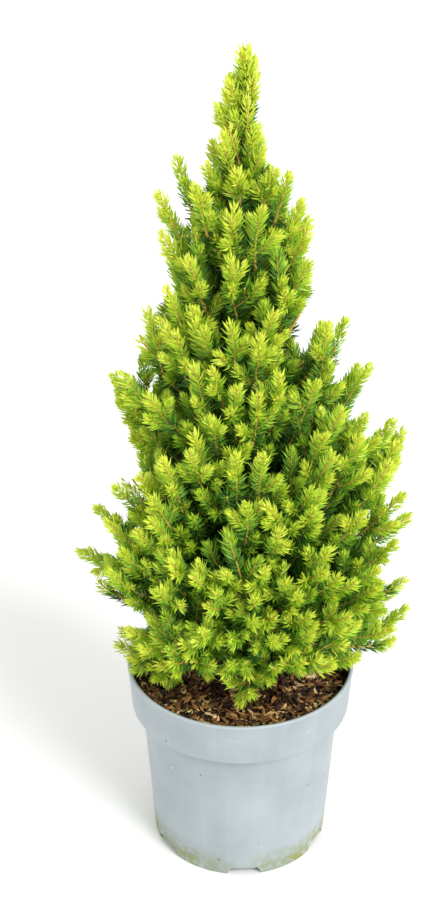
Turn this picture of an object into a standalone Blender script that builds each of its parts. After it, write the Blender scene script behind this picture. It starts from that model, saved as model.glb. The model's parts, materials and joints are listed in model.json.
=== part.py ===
# Potted dwarf white spruce: a young conical tree that stands in a round plastic nursery pot.
# Metres, +Z up. The origin is the centre of the pot's flat underside.
# The front of the plant is -Y and its right side is +X. Azimuths run from +X towards +Y.

import math
import random
from collections import namedtuple

import bmesh
import bpy
import numpy as np
from mathutils import Matrix, Vector, noise

# Gap that keeps neighbouring solids apart
GAP = 0.0003
# Distance within which the caps of a curve are welded to its sides
WELD = 0.000001
# Edges that turn more than this stay sharp on a piece that is shaded smooth
SHARP_ANGLE = math.radians(32)

# Pot
POT_HEIGHT = 0.1965
RIM_RADIUS = 0.110
LIP_THICKNESS = 0.004
LIP_DEPTH = 0.006
LIP_RETURN = 0.0008
LIP_STEPS = 4
BAND_HEIGHT = 0.0445
BAND_FOOT_RADIUS = 0.1062
BODY_TOP_RADIUS = 0.0963
BASE_RADIUS = 0.0862
BASE_CHAMFER = 0.0006
WALL = 0.0022
FLOOR_UNDERSIDE = 0.0098
FLOOR_THICKNESS = 0.0025
FOOT_RING_WIDTH = 0.004
BOSS_RADIUS = 0.018
POT_STEPS = 32

# Notches and drain holes in the foot of the pot
NOTCH_COUNT = 6
NOTCH_FOOT_WIDTH = 0.035
NOTCH_TOP_WIDTH = 0.026
NOTCH_HEIGHT = 0.0085
NOTCH_DEPTH = 0.012
FIRST_NOTCH = math.radians(272.6)
DRAIN_RADIUS = 0.0045
DRAIN_CIRCLE = 0.066
DRAIN_SIDES = 10

# Soil
SOIL_EDGE_HEIGHT = 0.1780
SOIL_CENTRE_HEIGHT = 0.1820
SOIL_FLAT_RADIUS = 0.016
SOIL_RINGS = 5
SOIL_STEPS = 32
SOIL_BUMP = 0.0022
SOIL_BUMP_SIZE = 0.014

# Trunk: its taper is given as (height above the soil, radius)
TRUNK_TOP = 0.700
TRUNK_TAPER = (
    (0.0, 0.0120),
    (0.006, 0.0110),
    (0.018, 0.0086),
    (0.05, 0.0070),
    (0.12, 0.0062),
    (0.24, 0.0050),
)
TRUNK_FLARE_POINTS = 4
TRUNK_TIP_RADIUS = 0.0020
TRUNK_SPANS = 10
TRUNK_WANDER = 0.0015
TRUNK_BEVEL = 2

# Crown outline: (height, reach to the left, reach to the right, reach to the front and back)
OUTLINE = (
    (0.185, 0.110, 0.112, 0.070),
    (0.215, 0.120, 0.148, 0.096),
    (0.260, 0.130, 0.162, 0.136),
    (0.320, 0.155, 0.158, 0.154),
    (0.360, 0.142, 0.161, 0.151),
    (0.440, 0.116, 0.150, 0.136),
    (0.505, 0.117, 0.119, 0.114),
    (0.560, 0.094, 0.087, 0.091),
    (0.630, 0.077, 0.067, 0.071),
    (0.678, 0.073, 0.055, 0.062),
    (0.705, 0.029, 0.029, 0.029),
    (0.755, 0.022, 0.022, 0.022),
    (0.775, 0.017, 0.017, 0.017),
    (0.790, 0.006, 0.006, 0.006),
)
OUTLINE_SLACK = 0.002

# Tiers of the crown, from the soil up: each mass grows from the trunk at one height and ends at another
Tier = namedtuple(
    "Tier", "name count turn foot_height tip_height has_bough shoot_length shoot_rise core_width"
)
TIERS = (
    Tier("skirt", 5, -10, 0.212, 0.222, True, 0.042, 0.08, 0.0),
    Tier("low", 6, 0, 0.230, 0.277, True, 0.058, 0.12, 0.018),
    Tier("lower_mid", 5, -18, 0.258, 0.355, True, 0.062, 0.25, 0.020),
    Tier("mid", 5, 4, 0.310, 0.438, False, 0.060, 0.35, 0.018),
    Tier("upper_mid", 5, 40, 0.380, 0.508, False, 0.055, 0.38, 0.017),
    Tier("high", 4, 10, 0.450, 0.562, False, 0.050, 0.40, 0.014),
    Tier("shoulder", 4, 50, 0.520, 0.626, False, 0.043, 0.40, 0.012),
    Tier("neck", 4, -8, 0.585, 0.680, False, 0.037, 0.40, 0.009),
    Tier("collar", 2, 50, 0.650, 0.716, False, 0.030, 0.45, 0.0),
)
TIP_TIER = Tier("tip", 1, 0, TRUNK_TOP, OUTLINE[-1][0], False, 0.025, 0.35, 0.0)
TURN_JITTER = math.radians(5)
HEIGHT_JITTER = 0.008

# Limbs: each mass has a curved route from the trunk to its tip. A bough takes its first share.
BOUGH_SHARE = 0.36
BOUGH_RADIUS = 0.0036
BOUGH_TIP_RADIUS = 0.0026
STEM_RADIUS = 0.0024
STEM_TIP_RADIUS = 0.0012
ROUTE_SPANS = 7
SHORTEST_SPAN = 0.05
ROUTE_BEND_REACH = 0.60
ROUTE_BEND_RISE = 0.30
STEM_STOP = 0.022

# Shoots: a finger of needles has two rings of teeth, placed from its tip as shares of its clad length
SHOOT_RADIUS = 0.0140
SHOOT_SLIMMEST = 0.0055
SHOOT_LONGEST = 0.066
SHOOT_CLAD = 0.050
INNER_RING = 0.66
INNER_RING_SHARE = 0.92
OUTER_RING = 0.24
SHOOT_SIDES = 4
SHOOT_CORE = 0.55
TOOTH_LEAN = 0.35

# Growth of the shoots from a stem: their angles, their places along it and how close they may come
INNER_ANGLE = math.radians(68)
OUTER_ANGLE = math.radians(38)
GOLDEN_ANGLE = math.radians(137.508)
FIRST_SHOOT = 0.06
LAST_SHOOT = 0.90
SHOOTS_A_ROUND = 9
ROUNDS = 4
SHOOT_SHRINKS = (1.15, 1.0, 0.85, 0.7, 0.55)
SHOOT_SINK = 0.0012
CROWDING = 1.72
UPRIGHT = 0.01

# Spaces: how a shoot is sampled, and the distances that it keeps
FIRST_SAMPLE = 0.06
SAMPLES = 9
SPACE_GAP = 0.0009
LIMB_GAP = 0.0008
LEAST_SPACE = 0.0035

# Cores of the dense masses
CORE_PLACE = 0.5
CORE_LENGTH = 0.36
CORE_LEAST = 0.006
CORE_SHRINK = 0.85

SEED = 24

POT_COLOUR = (0.56, 0.61, 0.66, 1.0)
SOIL_COLOUR = (0.11, 0.055, 0.03, 1.0)
BARK_COLOUR = (0.20, 0.10, 0.05, 1.0)
NEEDLE_COLOUR = (0.20, 0.34, 0.05, 1.0)

Limb = namedtuple("Limb", "points radii")
Mass = namedtuple("Mass", "name tier stem bough")


def clear_scene():
    for obj in list(bpy.data.objects):
        bpy.data.objects.remove(obj, do_unlink=True)


def new_collection(name):
    collection = bpy.data.collections.new(name)
    bpy.context.scene.collection.children.link(collection)
    return collection


def new_material(name, colour, roughness):
    material = bpy.data.materials.new(name)
    material.use_nodes = True
    shader = material.node_tree.nodes["Principled BSDF"]
    shader.inputs["Base Color"].default_value = colour
    shader.inputs["Roughness"].default_value = roughness
    shader.inputs["Metallic"].default_value = 0.0
    return material


def add_object(name, data, collection, material=None):
    obj = bpy.data.objects.new(name, data)
    collection.objects.link(obj)
    if material:
        data.materials.append(material)
    return obj


def remove_object(obj):
    data = obj.data
    bpy.data.objects.remove(obj, do_unlink=True)
    if isinstance(data, bpy.types.Curve):
        bpy.data.curves.remove(data)
    else:
        bpy.data.meshes.remove(data)


def evaluated_mesh(obj):
    # The mesh that the object's modifiers or curve settings make, with its caps welded on
    graph = bpy.context.evaluated_depsgraph_get()
    mesh = bpy.data.meshes.new_from_object(obj.evaluated_get(graph))
    bm = bmesh.new()
    bm.from_mesh(mesh)
    bmesh.ops.remove_doubles(bm, verts=bm.verts, dist=WELD)
    bm.to_mesh(mesh)
    bm.free()
    return mesh


# Pot and soil


def turned_mesh(name, profile, steps, collection):
    mesh = bpy.data.meshes.new(name)
    edges = [(i, i + 1) for i in range(len(profile) - 1)]
    mesh.from_pydata([(radius, 0.0, height) for radius, height in profile], edges, [])
    obj = add_object(name, mesh, collection)
    screw = obj.modifiers.new("Turn", "SCREW")
    screw.steps = steps
    screw.render_steps = steps
    screw.use_merge_vertices = True
    screw.merge_threshold = 0.0001
    return obj


def cut(obj, cutters):
    boolean = obj.modifiers.new("Cut", "BOOLEAN")
    boolean.operation = "DIFFERENCE"
    boolean.operand_type = "COLLECTION"
    boolean.collection = cutters


def applied(obj):
    # The mesh of a turned object with its modifiers applied, shaded smooth between its sharp edges
    mesh = evaluated_mesh(obj)
    mesh.shade_smooth()
    mesh.set_sharp_from_angle(angle=SHARP_ANGLE)
    remove_object(obj)
    return mesh


def wall_radius(height):
    share = height / (POT_HEIGHT - BAND_HEIGHT)
    return BASE_RADIUS + (BODY_TOP_RADIUS - BASE_RADIUS) * share


def pot_profile():
    step = POT_HEIGHT - BAND_HEIGHT
    floor = FLOOR_UNDERSIDE + FLOOR_THICKNESS
    lip = LIP_THICKNESS / 2
    turns = [math.pi * (1 - i / LIP_STEPS) for i in range(LIP_STEPS + 1)]
    lip_arc = [
        (RIM_RADIUS - lip + lip * math.cos(turn), POT_HEIGHT - lip + lip * math.sin(turn)) for turn in turns
    ]
    return [
        (0.0, floor),
        (wall_radius(floor) - WALL, floor),
        (BODY_TOP_RADIUS - WALL, step + WALL),
        (BAND_FOOT_RADIUS - WALL, step + WALL),
        (RIM_RADIUS - LIP_RETURN - WALL, POT_HEIGHT - LIP_DEPTH),
        *lip_arc,
        (RIM_RADIUS - LIP_RETURN, POT_HEIGHT - LIP_DEPTH),
        (BAND_FOOT_RADIUS, step),
        (BODY_TOP_RADIUS, step),
        (wall_radius(BASE_CHAMFER), BASE_CHAMFER),
        (BASE_RADIUS - BASE_CHAMFER, 0.0),
        (BASE_RADIUS - FOOT_RING_WIDTH, 0.0),
        (BASE_RADIUS - FOOT_RING_WIDTH, FLOOR_UNDERSIDE),
        (BOSS_RADIUS, FLOOR_UNDERSIDE),
        (BOSS_RADIUS, 0.0),
        (0.0, 0.0),
    ]


def add_foot_cutters(cutters):
    for i in range(NOTCH_COUNT):
        turn = Matrix.Rotation(FIRST_NOTCH + i * math.tau / NOTCH_COUNT, 4, "Z")
        bm = bmesh.new()
        bmesh.ops.create_cube(bm, size=1.0)
        for vertex in bm.verts:
            above = vertex.co.z > 0
            slope = (NOTCH_FOOT_WIDTH - NOTCH_TOP_WIDTH) / NOTCH_HEIGHT
            height = NOTCH_HEIGHT if above else -NOTCH_HEIGHT
            width = NOTCH_TOP_WIDTH + slope * (NOTCH_HEIGHT - height)
            vertex.co = (BASE_RADIUS + NOTCH_DEPTH * vertex.co.x, width * vertex.co.y, height)
        place_cutter(bm, turn, f"notch_cutter_{i + 1}", cutters)
        bm = bmesh.new()
        bmesh.ops.create_cone(
            bm,
            cap_ends=True,
            segments=DRAIN_SIDES,
            radius1=DRAIN_RADIUS,
            radius2=DRAIN_RADIUS,
            depth=4 * FLOOR_THICKNESS,
            matrix=Matrix.Translation((DRAIN_CIRCLE, 0.0, FLOOR_UNDERSIDE + FLOOR_THICKNESS / 2)),
        )
        place_cutter(bm, turn, f"drain_cutter_{i + 1}", cutters)


def place_cutter(bm, turn, name, cutters):
    bm.transform(turn)
    mesh = bpy.data.meshes.new(name)
    bm.to_mesh(mesh)
    bm.free()
    obj = add_object(name, mesh, cutters)
    obj.hide_render = True
    obj.display_type = "WIRE"


def make_pot(parts, cutters, material):
    obj = turned_mesh("turned_pot", pot_profile(), POT_STEPS, parts)
    add_foot_cutters(cutters)
    cut(obj, cutters)
    mesh = applied(obj)
    mesh.name = "pot"
    add_object("pot", mesh, parts, material)


def soil_profile():
    step = POT_HEIGHT - BAND_HEIGHT
    foot = FLOOR_UNDERSIDE + FLOOR_THICKNESS + GAP
    band_slope = (RIM_RADIUS - LIP_RETURN - BAND_FOOT_RADIUS) / (BAND_HEIGHT - LIP_DEPTH)
    edge_radius = BAND_FOOT_RADIUS - WALL - 2 * GAP + band_slope * (SOIL_EDGE_HEIGHT - step - WALL)
    top = [(0.0, SOIL_CENTRE_HEIGHT)]
    for i in range(SOIL_RINGS + 1):
        share = i / SOIL_RINGS
        radius = SOIL_FLAT_RADIUS + (edge_radius - SOIL_FLAT_RADIUS) * share
        top.append((radius, SOIL_CENTRE_HEIGHT + (SOIL_EDGE_HEIGHT - SOIL_CENTRE_HEIGHT) * share))
    return top + [
        (BAND_FOOT_RADIUS - WALL - 2 * GAP, step + WALL + GAP),
        (BODY_TOP_RADIUS - WALL - 2 * GAP, step + WALL + GAP),
        (wall_radius(foot) - WALL - 2 * GAP, foot),
        (0.0, foot),
    ]


def make_soil(parts, material):
    mesh = applied(turned_mesh("turned_soil", soil_profile(), SOIL_STEPS, parts))
    mesh.name = "soil"
    for vertex in mesh.vertices:
        radius = math.hypot(vertex.co.x, vertex.co.y)
        if vertex.co.z > SOIL_EDGE_HEIGHT - GAP and radius > SOIL_FLAT_RADIUS + GAP:
            vertex.co.z += SOIL_BUMP * noise.noise(vertex.co / SOIL_BUMP_SIZE)
    add_object("soil", mesh, parts, material)


# Limbs


def trunk_radius(height):
    above = height - SOIL_CENTRE_HEIGHT
    taper = TRUNK_TAPER + ((TRUNK_TOP - SOIL_CENTRE_HEIGHT, TRUNK_TIP_RADIUS),)
    return float(np.interp(above, [row[0] for row in taper], [row[1] for row in taper]))


def trunk_axis(height):
    # Straight up out of the soil, then a slight natural wander that dies out at the tip
    share = (height - SOIL_CENTRE_HEIGHT) / (TRUNK_TOP - SOIL_CENTRE_HEIGHT)
    swing = TRUNK_WANDER * math.sin(math.pi * min(max(share, 0.0), 1.0))
    return Vector((swing * math.sin(9.0 * share), swing * math.cos(7.0 * share) - swing, height))


def trunk_limb():
    foot = SOIL_CENTRE_HEIGHT + GAP
    flare = [foot + row[0] for row in TRUNK_TAPER[:TRUNK_FLARE_POINTS]]
    above = [flare[-1] + (TRUNK_TOP - flare[-1]) * (i + 1) / TRUNK_SPANS for i in range(TRUNK_SPANS)]
    heights = flare + above
    points = [trunk_axis(height) for height in heights]
    points[0].xy = points[1].xy
    return Limb(points, [trunk_radius(height) for height in heights])


def tapered_curve(name, limb, bevel, collection, material):
    # The bevel depth is one metre, so each point's radius is a real size
    curve = bpy.data.curves.new(name, "CURVE")
    curve.dimensions = "3D"
    curve.bevel_depth = 1.0
    curve.bevel_resolution = bevel
    curve.use_fill_caps = True
    spline = curve.splines.new("POLY")
    spline.points.add(len(limb.points) - 1)
    for point, place, radius in zip(spline.points, limb.points, limb.radii):
        point.co = (*place, 1.0)
        point.radius = radius
    return add_object(name, curve, collection, material)


def crown_reach(height, azimuth):
    heights, left, right, depth = zip(*OUTLINE)
    side = np.interp(height, heights, right if math.cos(azimuth) > 0 else left)
    across = math.cos(azimuth) ** 2
    return float(across * side + (1 - across) * np.interp(height, heights, depth))


def tapered(marks, first_radius, last_radius):
    return list(np.interp(marks, [marks[0], marks[-1]], [first_radius, last_radius]))


def route_point(foot, bend, tip, share):
    return (1 - share) ** 2 * foot + 2 * share * (1 - share) * bend + share**2 * tip


def plan_mass(tier, index, rng):
    azimuth = math.radians(tier.turn) + index * math.tau / tier.count + rng.uniform(-1, 1) * TURN_JITTER
    tip_height = tier.tip_height + rng.uniform(-1, 1) * HEIGHT_JITTER
    outward = Vector((math.cos(azimuth), math.sin(azimuth), 0.0))
    reach = crown_reach(tip_height, azimuth)
    centre = trunk_axis(tier.foot_height)
    rise = math.atan2(ROUTE_BEND_RISE * (tip_height - tier.foot_height), ROUTE_BEND_REACH * reach)
    limb_radius = BOUGH_RADIUS if tier.has_bough else STEM_RADIUS
    start = trunk_radius(tier.foot_height) + GAP + limb_radius * math.sin(abs(rise))
    foot = centre + start * outward
    tip = Vector((reach * outward.x, reach * outward.y, tip_height))
    bend = foot + (tip - foot) * ROUTE_BEND_REACH
    bend.z = foot.z + ROUTE_BEND_RISE * (tip_height - foot.z)
    shares = [i / ROUTE_SPANS for i in range(ROUTE_SPANS + 1)]
    length = (tip - foot).length
    bough = None
    if tier.has_bough:
        marks = [share for share in shares if share < BOUGH_SHARE] + [BOUGH_SHARE]
        points = [route_point(foot, bend, tip, mark) for mark in marks]
        bough = Limb(points, tapered(marks, BOUGH_RADIUS, BOUGH_TIP_RADIUS))
    first = BOUGH_SHARE + GAP / length if tier.has_bough else 0.0
    last = 1.0 - STEM_STOP / length
    inner = [share for share in shares if first + SHORTEST_SPAN < share < last - SHORTEST_SPAN]
    marks = [first, *inner, last]
    points = [route_point(foot, bend, tip, mark) for mark in marks]
    stem = Limb(points, tapered(marks, STEM_RADIUS, STEM_TIP_RADIUS))
    return Mass(f"{tier.name}_mass_{index + 1}", tier, stem, bough), tip


# Spaces: each mass keeps to the places that are nearer to its own stem than to any other


def segments_of(points):
    places = np.array([tuple(point) for point in points])
    return places[:-1], places[1:]


def distances(places, starts, ends):
    # Distance from each place to each segment
    along = ends - starts
    offset = places[:, None, :] - starts[None, :, :]
    share = np.clip((offset * along).sum(axis=2) / (along * along).sum(axis=1), 0.0, 1.0)
    return np.linalg.norm(offset - share[:, :, None] * along, axis=2), share


class Spaces:
    def __init__(self, masses, limbs):
        rows = [segments_of(mass.stem.points) for mass in masses]
        self.starts = np.concatenate([row[0] for row in rows])
        self.ends = np.concatenate([row[1] for row in rows])
        self.owners = np.concatenate([np.full(len(row[0]), i) for i, row in enumerate(rows)])
        rows = [segments_of(limb.points) for limb in limbs]
        self.limb_starts = np.concatenate([row[0] for row in rows])
        self.limb_ends = np.concatenate([row[1] for row in rows])
        self.limb_radii = np.concatenate([limb.radii[:-1] for limb in limbs])

    def holds(self, owner, places):
        away, _ = distances(places, self.starts, self.ends)
        own = away[:, self.owners == owner].min(axis=1)
        others = away[:, self.owners != owner].min(axis=1)
        return bool((own + SPACE_GAP < others).all())

    def clears_limbs(self, places, radii):
        away, _ = distances(places, self.limb_starts, self.limb_ends)
        return bool((away - self.limb_radii - radii[:, None] > LIMB_GAP).all())


def inside_crown(places):
    for x, y, z in places:
        radius = math.hypot(x, y)
        if z > POT_HEIGHT and radius > crown_reach(z, math.atan2(y, x)) + OUTLINE_SLACK:
            return False
        if z < POT_HEIGHT + LIMB_GAP * 2 and radius > RIM_RADIUS - LIP_DEPTH:
            return False
        if z < SOIL_CENTRE_HEIGHT + SOIL_BUMP:
            return False
    return True


# Shoots


def shoot_profile(length):
    # The two rings of a shoot as (distance from the root, radius): a bare twig comes before them
    clad = min(length, SHOOT_CLAD)
    radius = SHOOT_SLIMMEST + (SHOOT_RADIUS - SHOOT_SLIMMEST) * min(1.0, length / SHOOT_LONGEST)
    return ((length - INNER_RING * clad, INNER_RING_SHARE * radius), (length - OUTER_RING * clad, radius))


def shoot_frame(root, tip, spin):
    # A frame whose Z runs from the root to the tip
    turn = (tip - root).to_track_quat("Z", "Y").to_matrix().to_4x4()
    return Matrix.Translation(root) @ turn @ Matrix.Rotation(spin, 4, "Z")


def shoot_places(root, tip, spin):
    # Sample places over a shoot's skin, and those along its middle with the radius there
    length = (tip - root).length
    frame = shoot_frame(root, tip, spin)
    (inner, inner_radius), (outer, outer_radius) = shoot_profile(length)
    marks = np.linspace(FIRST_SAMPLE, 1.0, SAMPLES) * length
    widths = np.interp(marks, [0.0, inner, outer, length], [0.0, inner_radius, outer_radius, 0.0])
    skin = []
    for mark, width in zip(marks, widths):
        for k in range(SHOOT_SIDES):
            turn = k * math.tau / SHOOT_SIDES
            skin.append(frame @ Vector((width * math.cos(turn), width * math.sin(turn), mark)))
    middle = [frame @ Vector((0.0, 0.0, mark)) for mark in marks]
    return np.array([tuple(v) for v in skin]), np.array([tuple(v) for v in middle]), widths


def shoot_fits(spaces, owner, root, tip, spin):
    skin, middle, widths = shoot_places(root, tip, spin)
    far = np.linalg.norm(skin - np.array(tuple(root)), axis=1) > LEAST_SPACE
    if not spaces.holds(owner, skin[far]):
        return False
    if not inside_crown(skin[far]):
        return False
    return spaces.clears_limbs(middle, widths)


def shoot_mesh(root, tip, spin):
    # A slim core with two rings of teeth, which stands for the needles on one shoot
    length = (tip - root).length
    (inner, inner_radius), (outer, outer_radius) = shoot_profile(length)
    middle = (outer + inner) / 2
    bm = bmesh.new()
    made = bmesh.ops.create_cone(
        bm,
        cap_ends=True,
        segments=SHOOT_SIDES,
        radius1=inner_radius,
        radius2=outer_radius,
        depth=outer - inner,
    )
    for vertex in made["verts"]:
        corner = round(math.atan2(vertex.co.y, vertex.co.x) / (math.tau / SHOOT_SIDES))
        if (corner % 2 == 0) == (vertex.co.z > 0):
            vertex.co.z += TOOTH_LEAN * inner_radius
        else:
            vertex.co.xy *= SHOOT_CORE
        vertex.co.z += middle
    caps = [face for face in bm.faces if len({vertex.co.z > middle for vertex in face.verts}) == 1]
    for vertex in bmesh.ops.poke(bm, faces=caps)["verts"]:
        vertex.co = (0.0, 0.0, length if vertex.co.z > middle else 0.0)
    bmesh.ops.triangulate(bm, faces=bm.faces)
    bm.transform(shoot_frame(root, tip, spin))
    mesh = bpy.data.meshes.new("shoot")
    bm.to_mesh(mesh)
    bm.free()
    return mesh


def point_along(limb, share):
    place = share * (len(limb.points) - 1)
    i = min(int(place), len(limb.points) - 2)
    step = limb.points[i + 1] - limb.points[i]
    return limb.points[i] + (place - i) * step, step.normalized()


def level_across(along):
    # A level direction across a stem, also where the stem is upright
    across = along.cross(Vector((0.0, 0.0, 1.0)))
    return across.normalized() if across.length > UPRIGHT else Vector((1.0, 0.0, 0.0))


def clad_places(root, tip):
    # Two places on a shoot where it is thick, and its radius there
    length = (tip - root).length
    profile = shoot_profile(length)
    return [(root.lerp(tip, mark / length), radius) for mark, radius in profile]


def is_crowded(root, tip, clad):
    for place, radius in clad_places(root, tip):
        for other, other_radius in clad:
            if (place - other).length < CROWDING * (radius + other_radius) / 2:
                return True
    return False


def grow_shoots(mass, owner, crown_tip, spaces, clad, rng):
    # One shoot ends the stem, and the others leave it by the golden angle and lean outwards and up.
    # A shoot that would leave the mass's space, touch a limb or crowd another shoot is shortened or skipped.
    end, _ = point_along(mass.stem, LAST_SHOOT)
    shoots = [(end, crown_tip, 0.0)]
    clad.extend(clad_places(end, crown_tip))
    turn = rng.uniform(0.0, math.tau)
    for i in range(ROUNDS * SHOOTS_A_ROUND):
        share = FIRST_SHOOT + (LAST_SHOOT - FIRST_SHOOT) * (i % SHOOTS_A_ROUND) / SHOOTS_A_ROUND
        root, along = point_along(mass.stem, share)
        turn += GOLDEN_ANGLE
        side = Matrix.Rotation(turn, 3, along) @ level_across(along)
        angle = INNER_ANGLE + (OUTER_ANGLE - INNER_ANGLE) * share
        heading = math.cos(angle) * along + math.sin(angle) * side
        heading.z += mass.tier.shoot_rise * (1.0 - abs(heading.z))
        heading.normalize()
        length = mass.tier.shoot_length * rng.uniform(0.9, 1.1)
        spin = rng.uniform(0.0, math.tau)
        for shrink in SHOOT_SHRINKS:
            tip = root + shrink * length * heading
            if is_crowded(root, tip, clad):
                continue
            if shoot_fits(spaces, owner, root, tip, spin):
                shoots.append((root - SHOOT_SINK * heading, tip, spin))
                clad.extend(clad_places(root, tip))
                break
    return shoots


def join_mass(mass, pieces, material, parts):
    # One union joins the stem and the shoots, and only its one whole body is kept
    rough = new_collection("shoots")
    stem_curve = tapered_curve("stem", mass.stem, 0, rough, None)
    bpy.context.view_layer.update()
    stem = add_object("stem_mesh", evaluated_mesh(stem_curve), parts)
    remove_object(stem_curve)
    for mesh in pieces:
        add_object("shoot", mesh, rough)
    union = stem.modifiers.new("Join", "BOOLEAN")
    union.operation = "UNION"
    union.operand_type = "COLLECTION"
    union.collection = rough
    bpy.context.view_layer.update()
    joined = evaluated_mesh(stem)
    remove_object(stem)
    for obj in list(rough.objects):
        remove_object(obj)
    bpy.data.collections.remove(rough)
    keep_largest_body(joined)
    joined.name = mass.name
    joined.materials.clear()
    return add_object(mass.name, joined, parts, material)


def keep_largest_body(mesh):
    bm = bmesh.new()
    bm.from_mesh(mesh)
    unseen = set(bm.verts)
    bodies = []
    while unseen:
        body = set()
        queue = [unseen.pop()]
        while queue:
            vertex = queue.pop()
            body.add(vertex)
            for edge in vertex.link_edges:
                other = edge.other_vert(vertex)
                if other in unseen:
                    unseen.discard(other)
                    queue.append(other)
        bodies.append(body)
    bodies.sort(key=len)
    loose = [vertex for body in bodies[:-1] for vertex in body]
    bmesh.ops.delete(bm, geom=loose, context="VERTS")
    bm.to_mesh(mesh)
    bm.free()


def core_mesh(mass, owner, spaces):
    # A slim ellipsoid round the middle of the stem, shrunk until it keeps to the mass's space
    middle, along = point_along(mass.stem, CORE_PLACE)
    turn = along.to_track_quat("Z", "Y").to_matrix().to_4x4()
    size = 1.0
    while size * mass.tier.core_width > CORE_LEAST:
        bm = bmesh.new()
        bmesh.ops.create_icosphere(bm, subdivisions=1, radius=1.0)
        stem_length = (mass.stem.points[-1] - mass.stem.points[0]).length
        width = size * mass.tier.core_width
        widths = (width, width, size * CORE_LENGTH * stem_length)
        bm.transform(Matrix.Translation(middle) @ turn @ Matrix.Diagonal((*widths, 1.0)))
        places = np.array([tuple(vertex.co) for vertex in bm.verts])
        radii = np.zeros(len(places))
        if spaces.holds(owner, places) and spaces.clears_limbs(places, radii) and inside_crown(places):
            mesh = bpy.data.meshes.new("core")
            bm.to_mesh(mesh)
            bm.free()
            return mesh
        bm.free()
        size *= CORE_SHRINK
    return None


def plan_tip_mass():
    # The leader: this year's upright shoot on top of the trunk
    foot = trunk_axis(TRUNK_TOP) + Vector((0.0, 0.0, GAP))
    crown_tip = Vector((0.0, 0.0, TIP_TIER.tip_height))
    end = crown_tip - Vector((0.0, 0.0, STEM_STOP))
    marks = [i / ROUTE_SPANS for i in range(ROUTE_SPANS + 1)]
    points = [foot.lerp(end, mark) for mark in marks]
    radii = tapered(marks, TRUNK_TIP_RADIUS, STEM_TIP_RADIUS)
    return Mass("tip_mass", TIP_TIER, Limb(points, radii), None), crown_tip


def make_tree(parts, bark, needles):
    rng = random.Random(SEED)
    trunk = trunk_limb()
    tapered_curve("trunk", trunk, TRUNK_BEVEL, parts, bark)
    planned = [plan_mass(tier, i, rng) for tier in TIERS for i in range(tier.count)]
    planned.append(plan_tip_mass())
    masses = [mass for mass, _ in planned]
    for mass in masses:
        if mass.bough:
            tapered_curve(mass.name.replace("mass", "bough"), mass.bough, 1, parts, bark)
    limbs = [trunk] + [mass.bough for mass in masses if mass.bough]
    spaces = Spaces(masses, limbs)
    clad = []
    for owner, (mass, crown_tip) in enumerate(planned):
        shoots = grow_shoots(mass, owner, crown_tip, spaces, clad, rng)
        pieces = [shoot_mesh(*shoot) for shoot in shoots]
        core = core_mesh(mass, owner, spaces)
        if core:
            pieces.append(core)
        join_mass(mass, pieces, needles, parts)


def main():
    clear_scene()
    parts = new_collection("potted_white_spruce")
    cutters = new_collection("cutters")
    bark = new_material("bark", BARK_COLOUR, 0.8)
    needles = new_material("needles", NEEDLE_COLOUR, 0.6)
    make_pot(parts, cutters, new_material("pot_plastic", POT_COLOUR, 0.55))
    make_soil(parts, new_material("bark_compost", SOIL_COLOUR, 0.95))
    make_tree(parts, bark, needles)


main()
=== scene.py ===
# The looks of a potted dwarf white spruce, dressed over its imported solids.
# Metres, +Z up. The front of the plant is -Y and its right side is +X.
import json
import math
import random

import bmesh
import bpy
import numpy as np
from mathutils import Matrix, Vector, noise

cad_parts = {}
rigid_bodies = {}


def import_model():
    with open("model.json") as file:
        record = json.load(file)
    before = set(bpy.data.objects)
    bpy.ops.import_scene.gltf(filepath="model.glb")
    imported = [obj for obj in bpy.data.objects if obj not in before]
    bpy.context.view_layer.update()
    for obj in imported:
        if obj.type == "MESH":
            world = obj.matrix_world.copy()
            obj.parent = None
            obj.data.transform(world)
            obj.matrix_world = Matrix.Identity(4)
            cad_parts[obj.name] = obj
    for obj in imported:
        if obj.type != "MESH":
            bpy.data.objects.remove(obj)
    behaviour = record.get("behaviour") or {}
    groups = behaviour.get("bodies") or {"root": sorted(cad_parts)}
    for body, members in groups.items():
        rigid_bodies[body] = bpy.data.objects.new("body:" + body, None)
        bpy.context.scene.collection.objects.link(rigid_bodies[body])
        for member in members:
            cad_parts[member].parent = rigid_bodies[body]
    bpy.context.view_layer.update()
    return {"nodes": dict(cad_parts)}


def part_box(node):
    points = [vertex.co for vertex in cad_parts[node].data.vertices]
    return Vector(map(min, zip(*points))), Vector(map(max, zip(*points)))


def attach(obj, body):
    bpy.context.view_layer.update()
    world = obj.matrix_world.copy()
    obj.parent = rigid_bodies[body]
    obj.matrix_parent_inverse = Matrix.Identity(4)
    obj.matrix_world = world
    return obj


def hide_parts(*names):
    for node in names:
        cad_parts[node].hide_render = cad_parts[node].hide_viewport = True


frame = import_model()
print("frame loaded:", len(frame["nodes"]), "solids")


# Small helpers


def linearColour(code):
    # An sRGB hex colour as linear light
    shares = [int(code[i : i + 2], 16) / 255 for i in (1, 3, 5)]
    return (*[c / 12.92 if c <= 0.04045 else ((c + 0.055) / 1.055) ** 2.4 for c in shares], 1.0)


def addNode(tree, kind, settings=None, inputs=None):
    # One node with its settings, where a ramp's stops are (place, colour) pairs. An input takes a value,
    # or another node's socket, which is linked.
    node = tree.nodes.new(kind)
    for key, value in (settings or {}).items():
        if key == "stops":
            for stop, (position, colour) in zip(node.color_ramp.elements, value):
                stop.position, stop.color = position, colour
        else:
            setattr(node, key, value)
    for key, value in (inputs or {}).items():
        if isinstance(value, bpy.types.NodeSocket):
            tree.links.new(value, node.inputs[key])
        else:
            node.inputs[key].default_value = value
    return node


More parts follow.
